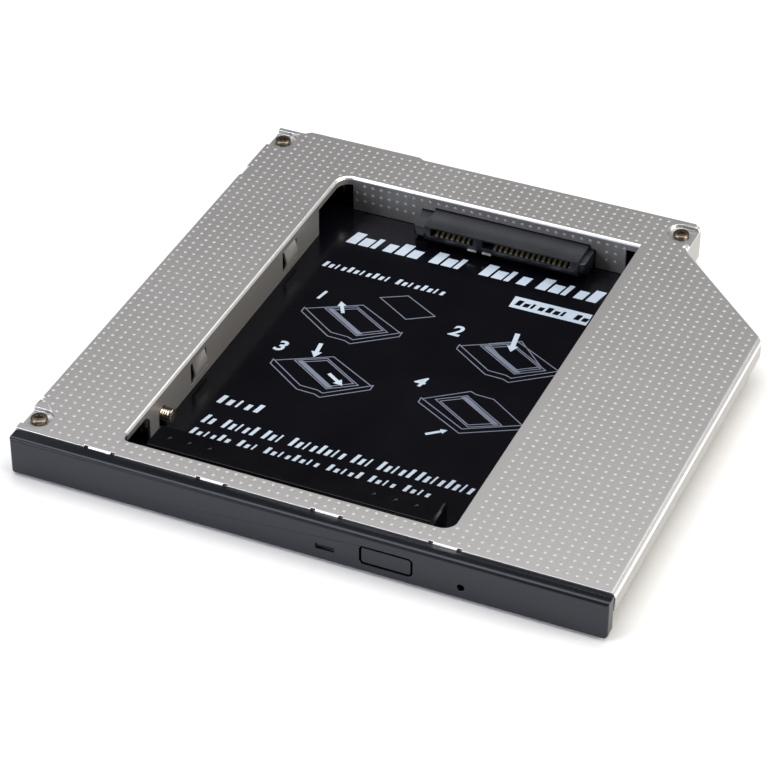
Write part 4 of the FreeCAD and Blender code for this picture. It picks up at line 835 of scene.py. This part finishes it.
def printed_step(right, rear, from_behind):
    """One step's drawing: the tray with the depth of its near sides, and the bay with a doubled edge."""

    def placed(corners, drop=0.0):
        if from_behind:
            corners = [(DRAWN_TRAY[4][0] - u, -v) for u, v in corners]
        return [(right + u, rear + v - drop) for u, v in corners]

    near = DRAWN_TRAY[4:] + DRAWN_TRAY[:1] if from_behind else DRAWN_TRAY[:5]
    middle = sum((Vector(corner) for corner in DRAWN_BAY), Vector((0, 0))) / len(DRAWN_BAY)
    inner = [tuple(middle + (Vector(corner) - middle) * DRAWN_INNER) for corner in DRAWN_BAY]
    line = sizes().print_line
    return [
        printed(placed(DRAWN_TRAY), 1, line),
        printed(placed(near) + list(reversed(placed(near, DRAWN_DEPTH))), 2, line),
        printed(placed(DRAWN_BAY), 1, line),
        printed(placed(inner), 1, line),
        printed(placed(DRAWN_STRIP), 2),
    ]


class CADDY_OT_film(bpy.types.Operator):
    """Lay the insulating film and print it with plain blocks, step numbers and drawings"""

    bl_idname = "caddy.film"
    bl_label = "Film and print"

    def execute(self, context):
        dress(frame["nodes"]["floor_film"], material("film"))
        low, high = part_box("floor_film")
        # The flap of film is dark over the tray in front of the board: painted shade for the board's shadow.
        rear = Vector((high.x, high.y + FLAP_DEPTH * MM, high.z))
        flap = block(Vector((low.x, high.y, low.z)), rear, "film_rear_flap")
        ease_edges(flap, FLAP_EDGE * MM, 1)
        dress(close(flap), material("film"), "chassis")

        bright = [printed(LABEL, 1)]
        for row in PRINTED_ROWS:
            bright += printed_row(*row)
        bright += [printed_number(*number) for number in STEP_NUMBERS]
        bright += [printed_arrow(*arrow) for arrow in ARROWS]
        dress(join(bright, "film_print"), material("ink"), "chassis")

        dim = [piece for step in STEPS for piece in printed_step(*step)]
        for drive in DRIVES:
            dim.append(printed(drive, 3, sizes().print_line))
        dress(join(dim, "film_drawings"), material("drawing"), "chassis")
        dress(join(printed_row(*LABEL_ROW), "film_label_blocks"), material("film"), "chassis")
        return {"FINISHED"}


class CADDY_OT_front(bpy.types.Operator):
    """Finish the bezel and its button"""

    bl_idname = "caddy.front"
    bl_label = "Bezel and button"

    def execute(self, context):
        bezel = finished_copy("bezel", "front_bezel", sizes().moulding_edge)
        dress(bezel, material("moulding"), "chassis", ["bezel"])
        button = finished_copy("eject_button", "front_button", sizes().moulding_edge)
        dress(button, material("moulding"), "button", ["eject_button"])
        return {"FINISHED"}


# Raised marks on the bar's top that say which way it slides, in millimetres: how far right each stands,
# how far to the rear, and the radius, thickness, rim and dish of one.
BAR_MARKS = (29.8, 34.2, 38.7, 74.4, 79.0, 83.4)
BAR_MARKS_REAR = 13.0
BAR_MARK_RADIUS, BAR_MARK_THICKNESS, BAR_MARK_RIM, BAR_MARK_DISH = 0.62, 0.16, 0.16, 0.06


class CADDY_OT_stop_bar(bpy.types.Operator):
    """Finish the sliding stop bar and raise the marks on it"""

    bl_idname = "caddy.stop_bar"
    bl_label = "Stop bar"

    def execute(self, context):
        bar = finished_copy("stop_bar", "sliding_bar", sizes().moulding_edge)
        dress(bar, material("bar"), "bar", ["stop_bar"])
        first = at(BAR_MARKS[0], BAR_MARKS_REAR, 0)
        first.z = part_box("stop_bar")[1].z
        deselect_all()
        bpy.ops.mesh.primitive_cylinder_add(
            vertices=3, radius=BAR_MARK_RADIUS * MM, depth=BAR_MARK_THICKNESS * MM, location=first
        )
        mark = settle(bpy.context.object, "mark")
        choose_facing(mark, (0, 0, 1))
        bpy.ops.mesh.inset(thickness=BAR_MARK_RIM * MM)
        bpy.ops.transform.translate(value=(0, 0, -BAR_MARK_DISH * MM))
        bpy.ops.object.mode_set(mode="OBJECT")
        marks = [mark]
        for right in BAR_MARKS[1:]:
            marks.append(copy_to(mark, Vector(((right - BAR_MARKS[0]) * MM, 0, 0)), "mark"))
        dress(close(join(marks, "bar_marks")), material("bar"), "bar")
        return {"FINISHED"}


# The stud, in millimetres: depth of its head, radius and rounding of its shank, and the plain length
# at each end of its thread. The thread's roots are this share of its radius.
STUD_HEAD, STUD_RADIUS, STUD_ROUND, STUD_PLAIN = 1.6, 1.5, 0.2, 0.4
THREAD_ROOT = 0.82


class CADDY_OT_stud(bpy.types.Operator):
    """Turn the threaded stud that enters the drive's side hole"""

    bl_idname = "caddy.stud"
    bl_label = "Locating stud"

    def execute(self, context):
        low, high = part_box("locating_stud")
        axis = (low + high) / 2
        head, radius, plain = STUD_HEAD * MM, STUD_RADIUS * MM, STUD_PLAIN * MM
        deselect_all()
        bpy.ops.mesh.primitive_cylinder_add(
            vertices=32, radius=(high.z - low.z) / 2, depth=head,
            location=(low.x + head / 2, axis.y, axis.z), rotation=(0, math.pi / 2, 0),
        )
        stud = settle(bpy.context.object, "threaded_stud")
        choose_facing(stud, (1, 0, 0))
        bpy.ops.mesh.inset(thickness=(high.z - low.z) / 2 - radius)
        bpy.ops.mesh.extrude_region_move(TRANSFORM_OT_translate={"value": (high.x - low.x - head, 0, 0)})
        bpy.ops.object.mode_set(mode="OBJECT")
        ease_edges(stud, STUD_ROUND * MM)
        pitch = sizes().thread_pitch
        start, count = low.x + head + plain, int((high.x - low.x - head - 2 * plain) / pitch)
        for number in range(2 * count + 1):
            choose_all(stud)
            bpy.ops.mesh.bisect(plane_co=(start + number * pitch / 2, 0, 0), plane_no=(1, 0, 0))
            bpy.ops.object.mode_set(mode="OBJECT")
        roots = [start + number * pitch for number in range(count + 1)]
        choose(stud, "verts", lambda vertex: any(abs(vertex.co.x - root) < NEAR for root in roots))
        bpy.ops.transform.resize(value=(1, THREAD_ROOT, THREAD_ROOT), center_override=axis)
        bpy.ops.object.mode_set(mode="OBJECT")
        dress(close(stud), material("stud"), "chassis", ["locating_stud"])
        return {"FINISHED"}


# Rounding of the edges of the board, of the connectors' housings and of their tabs, in millimetres.
BOARD_EDGE, HOUSING_EDGE, TAB_EDGE = 0.05, 0.08, 0.05


class CADDY_OT_board(bpy.types.Operator):
    """Finish the adapter board and its chip capacitors"""

    bl_idname = "caddy.board"
    bl_label = "Board"

    def execute(self, context):
        board = finished_copy("adapter_board", "board", BOARD_EDGE * MM, 1)
        dress(board, material("board"), "chassis", ["adapter_board"])
        dress(frame["nodes"]["board_capacitors"], material("ceramic"))
        return {"FINISHED"}


DRIVE_CONTACTS = ("drive_signal_contacts", "drive_power_contacts")
HOST_CONTACTS = ("host_signal_contacts", "host_power_contacts")
# The tinned tabs under the lip of the drive's socket, either side of its key, in millimetres:
# how far right each starts, its width, and where it runs from front to rear and from foot to top.
SOCKET_TABS = (55.2, 58.7)
TAB_WIDTH, TAB_FRONT, TAB_REAR, TAB_FOOT, TAB_TOP = 2.1, 108.5, 110.4, 2.62, 3.1


class CADDY_OT_connectors(bpy.types.Operator):
    """Finish the two connector housings, gild their contacts and set the tabs under the socket's lip"""

    bl_idname = "caddy.connectors"
    bl_label = "Connectors"

    def execute(self, context):
        for node, name in (("drive_connector", "drive_socket"), ("host_connector", "host_plug")):
            piece = finished_copy(node, name, HOUSING_EDGE * MM)
            dress(piece, material("connector"), "chassis", [node])
        for node in DRIVE_CONTACTS + HOST_CONTACTS:
            dress(frame["nodes"][node], material("gold"))
        tabs = []
        for right in SOCKET_TABS:
            foot, top = at(right, TAB_FRONT, TAB_FOOT), at(right + TAB_WIDTH, TAB_REAR, TAB_TOP)
            tabs.append(block(foot, top, "tab"))
        pair = join(tabs, "socket_tabs")
        ease_edges(pair, TAB_EDGE * MM)
        dress(close(pair), material("tin"), "chassis")
        return {"FINISHED"}


# A screw, in millimetres: depth of its head, radius of its shank and rounding of its head.
SCREW_HEAD, SCREW_SHANK, SCREW_ROUND = 1.0, 1.0, 0.35
# Half of one wing of its cross recess, from the middle of the head's top: reach, half width and depth,
# the share of the first two that is left at the foot, and the turn of the cross in degrees.
WING_REACH, WING_HALF, WING_DEPTH = 1.15, 0.28, 0.62
WING_TAPER = (0.35, 0.6)
CROSS_TURN = 25
OTHER_SCREWS = ("cover_screw_rear_left", "cover_screw_rear_right", "board_screw_left", "board_screw_right")


class CADDY_OT_screws(bpy.types.Operator):
    """Form a cross-recessed screw and set its copies"""

    bl_idname = "caddy.screws"
    bl_label = "Screws"

    def execute(self, context):
        node = "cover_screw_front_left"
        low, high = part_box(node)
        centre = (low + high) / 2
        head, radius = SCREW_HEAD * MM, (high.x - low.x) / 2
        deselect_all()
        bpy.ops.mesh.primitive_cylinder_add(
            vertices=32, radius=radius, depth=head, location=(centre.x, centre.y, high.z - head / 2)
        )
        screw = settle(bpy.context.object, "cross_screw")
        choose_facing(screw, (0, 0, -1))
        bpy.ops.mesh.inset(thickness=radius - SCREW_SHANK * MM)
        bpy.ops.mesh.extrude_region_move(TRANSFORM_OT_translate={"value": (0, 0, low.z - (high.z - head))})
        choose(screw, "faces", lambda face: face.calc_center_median().z > high.z - NEAR)
        bpy.ops.mesh.bevel(offset=SCREW_ROUND * MM, segments=4, affect="EDGES")
        bpy.ops.object.mode_set(mode="OBJECT")
        for turn in (0, math.pi / 2):
            foot = Vector((-WING_REACH, -WING_HALF, -WING_DEPTH)) * MM
            wing = block(foot, Vector((WING_REACH, WING_HALF, 0.3)) * MM, "wing")
            choose_facing(wing, (0, 0, -1))
            bpy.ops.transform.resize(value=(*WING_TAPER, 1))
            bpy.ops.object.mode_set(mode="OBJECT")
            wing.rotation_euler.z = turn + math.radians(CROSS_TURN)
            wing.location = (centre.x, centre.y, high.z)
            settle(wing, "wing")
            apply_modifier(screw, "BOOLEAN", operation="DIFFERENCE", object=wing, solver="EXACT")
            bpy.data.objects.remove(wing)
        close(screw)
        for other in OTHER_SCREWS:
            other_low, other_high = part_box(other)
            shift = Vector((other_low.x - low.x, other_low.y - low.y, other_high.z - high.z))
            piece = copy_to(screw, shift, other + "_cross")
            if other.startswith("board"):
                choose(piece, "verts", lambda vertex: vertex.co.z < other_high.z - head - NEAR)
                shorter = (other_high.z - head - other_low.z) / (high.z - head - low.z)
                bpy.ops.transform.resize(
                    value=(1, 1, shorter), center_override=(other_low.x, other_low.y, other_high.z - head)
                )
                bpy.ops.object.mode_set(mode="OBJECT")
            dress(piece, material("screw"), "chassis", [other])
        screw.name = screw.data.name = node + "_cross"
        dress(screw, material("screw"), "chassis", [node])
        return {"FINISHED"}


PILLARS = ("pillar_front_left", "pillar_rear_left", "pillar_rear_right")
SPACERS = ("board_spacer_left", "board_spacer_right")


class CADDY_OT_pillars(bpy.types.Operator):
    """Finish the brass pillars and spacers"""

    bl_idname = "caddy.pillars"
    bl_label = "Pillars"

    def execute(self, context):
        for node in PILLARS + SPACERS:
            dress(frame["nodes"][node], material("brass"))
        return {"FINISHED"}


# The softboxes: name, place and size in metres, power in watts, and tint. Each faces the caddy's middle.
SOFTBOXES = (
    ("top softbox", (-0.1, 0.25, 1.3), 1.6, 22, "#FFFFFF"),
    ("front softbox", (-0.9, -0.9, 0.5), 0.6, 12, "#EEF1FF"),
    ("right softbox", (1.2, 0.0, 0.4), 0.8, 17, "#FFF9EF"),
)
# The camera: its place in metres, its turn about the upright, its look down and its roll in degrees,
# and its lens and sensor in millimetres.
CAMERA_PLACE = (0.193540, -0.474840, 0.374465)
CAMERA_TURN, CAMERA_DOWN, CAMERA_ROLL = 23.208, 36.317, 0.380
CAMERA_LENS, CAMERA_SENSOR = 140.97, 36.0
# The floor's size in metres, and how far it lies below the caddy in millimetres.
FLOOR_SIZE, FLOOR_DROP = 6, 0.05


def soft_light(name, place, size, power, tint):
    """A square softbox at a place, facing the caddy."""
    turn = (Vector() - Vector(place)).to_track_quat("-Z", "Y").to_euler()
    deselect_all()
    bpy.ops.object.light_add(type="AREA", location=place, rotation=turn)
    lamp = bpy.context.object
    lamp.name = lamp.data.name = name
    lamp.data.shape = "SQUARE"
    lamp.data.size = size
    lamp.data.energy = power
    lamp.data.color = linear(tint)


class CADDY_OT_stage(bpy.types.Operator):
    """Set the pale floor, the soft light and the camera"""

    bl_idname = "caddy.stage"
    bl_label = "Stage"

    def execute(self, context):
        deselect_all()
        bpy.ops.mesh.primitive_plane_add(size=FLOOR_SIZE, location=(0, 0, -FLOOR_DROP * MM))
        floor = settle(context.object, "studio_floor")
        paint = finish(
            "painted studio floor", linear("#F6F6F6"), linear("#F4F4F4"), (0.85, 0.9), 400, 3, 1.0,
            speckle=0.01,
        )
        floor.data.materials.append(paint)

        world = bpy.data.worlds.new("studio")
        context.scene.world = world
        world.use_nodes = True
        tree = world.node_tree
        tree.nodes.clear()
        glow = add_node(tree, "ShaderNodeBackground", {"Color": (0.90, 0.93, 1.0, 1.0), "Strength": 0.05})
        add_node(tree, "ShaderNodeOutputWorld", {"Surface": (glow, "Background")})

        for softbox in SOFTBOXES:
            soft_light(*softbox)

        turn = (
            Matrix.Rotation(math.radians(CAMERA_TURN), 4, "Z")
            @ Matrix.Rotation(math.radians(90 - CAMERA_DOWN), 4, "X")
            @ Matrix.Rotation(math.radians(CAMERA_ROLL), 4, "Z")
        )
        bpy.ops.object.camera_add(location=CAMERA_PLACE, rotation=turn.to_euler())
        camera = context.object
        camera.name = "studio_camera"
        camera.data.lens = CAMERA_LENS
        camera.data.sensor_width = CAMERA_SENSOR
        context.scene.camera = camera
        context.scene.view_settings.view_transform = "Standard"
        return {"FINISHED"}


class CADDY_PT_pieces(bpy.types.Panel):
    """The caddy's pieces and what a user may change"""

    bl_idname = "CADDY_PT_pieces"
    bl_label = "Laptop drive caddy"
    bl_space_type = "VIEW_3D"
    bl_region_type = "UI"
    bl_category = "Caddy"

    def draw(self, context):
        for group in (context.scene.caddy_sizes, context.scene.caddy_colours):
            column = self.layout.column()
            for name in group.__annotations__:
                column.prop(group, name)
        for operator in OPERATORS:
            self.layout.operator(operator.bl_idname)


OPERATORS = (
    CADDY_OT_cover,
    CADDY_OT_tray,
    CADDY_OT_film,
    CADDY_OT_front,
    CADDY_OT_stop_bar,
    CADDY_OT_stud,
    CADDY_OT_board,
    CADDY_OT_connectors,
    CADDY_OT_screws,
    CADDY_OT_pillars,
    CADDY_OT_stage,
)
CLASSES = (CaddySizes, CaddyColours, *OPERATORS, CADDY_PT_pieces)


def register():
    """Make the pieces' operators, the panel and the settings known to Blender."""
    for item in CLASSES:
        bpy.utils.register_class(item)
    bpy.types.Scene.caddy_sizes = bpy.props.PointerProperty(type=CaddySizes)
    bpy.types.Scene.caddy_colours = bpy.props.PointerProperty(type=CaddyColours)


def unregister():
    """Take them out again."""
    del bpy.types.Scene.caddy_colours
    del bpy.types.Scene.caddy_sizes
    for item in reversed(CLASSES):
        bpy.utils.unregister_class(item)


def main():
    """Make every piece in order."""
    register()
    for operator in OPERATORS:
        group, name = operator.bl_idname.split(".")
        getattr(getattr(bpy.ops, group), name)()
    deselect_all()
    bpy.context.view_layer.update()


if __name__ == "__main__":
    main()
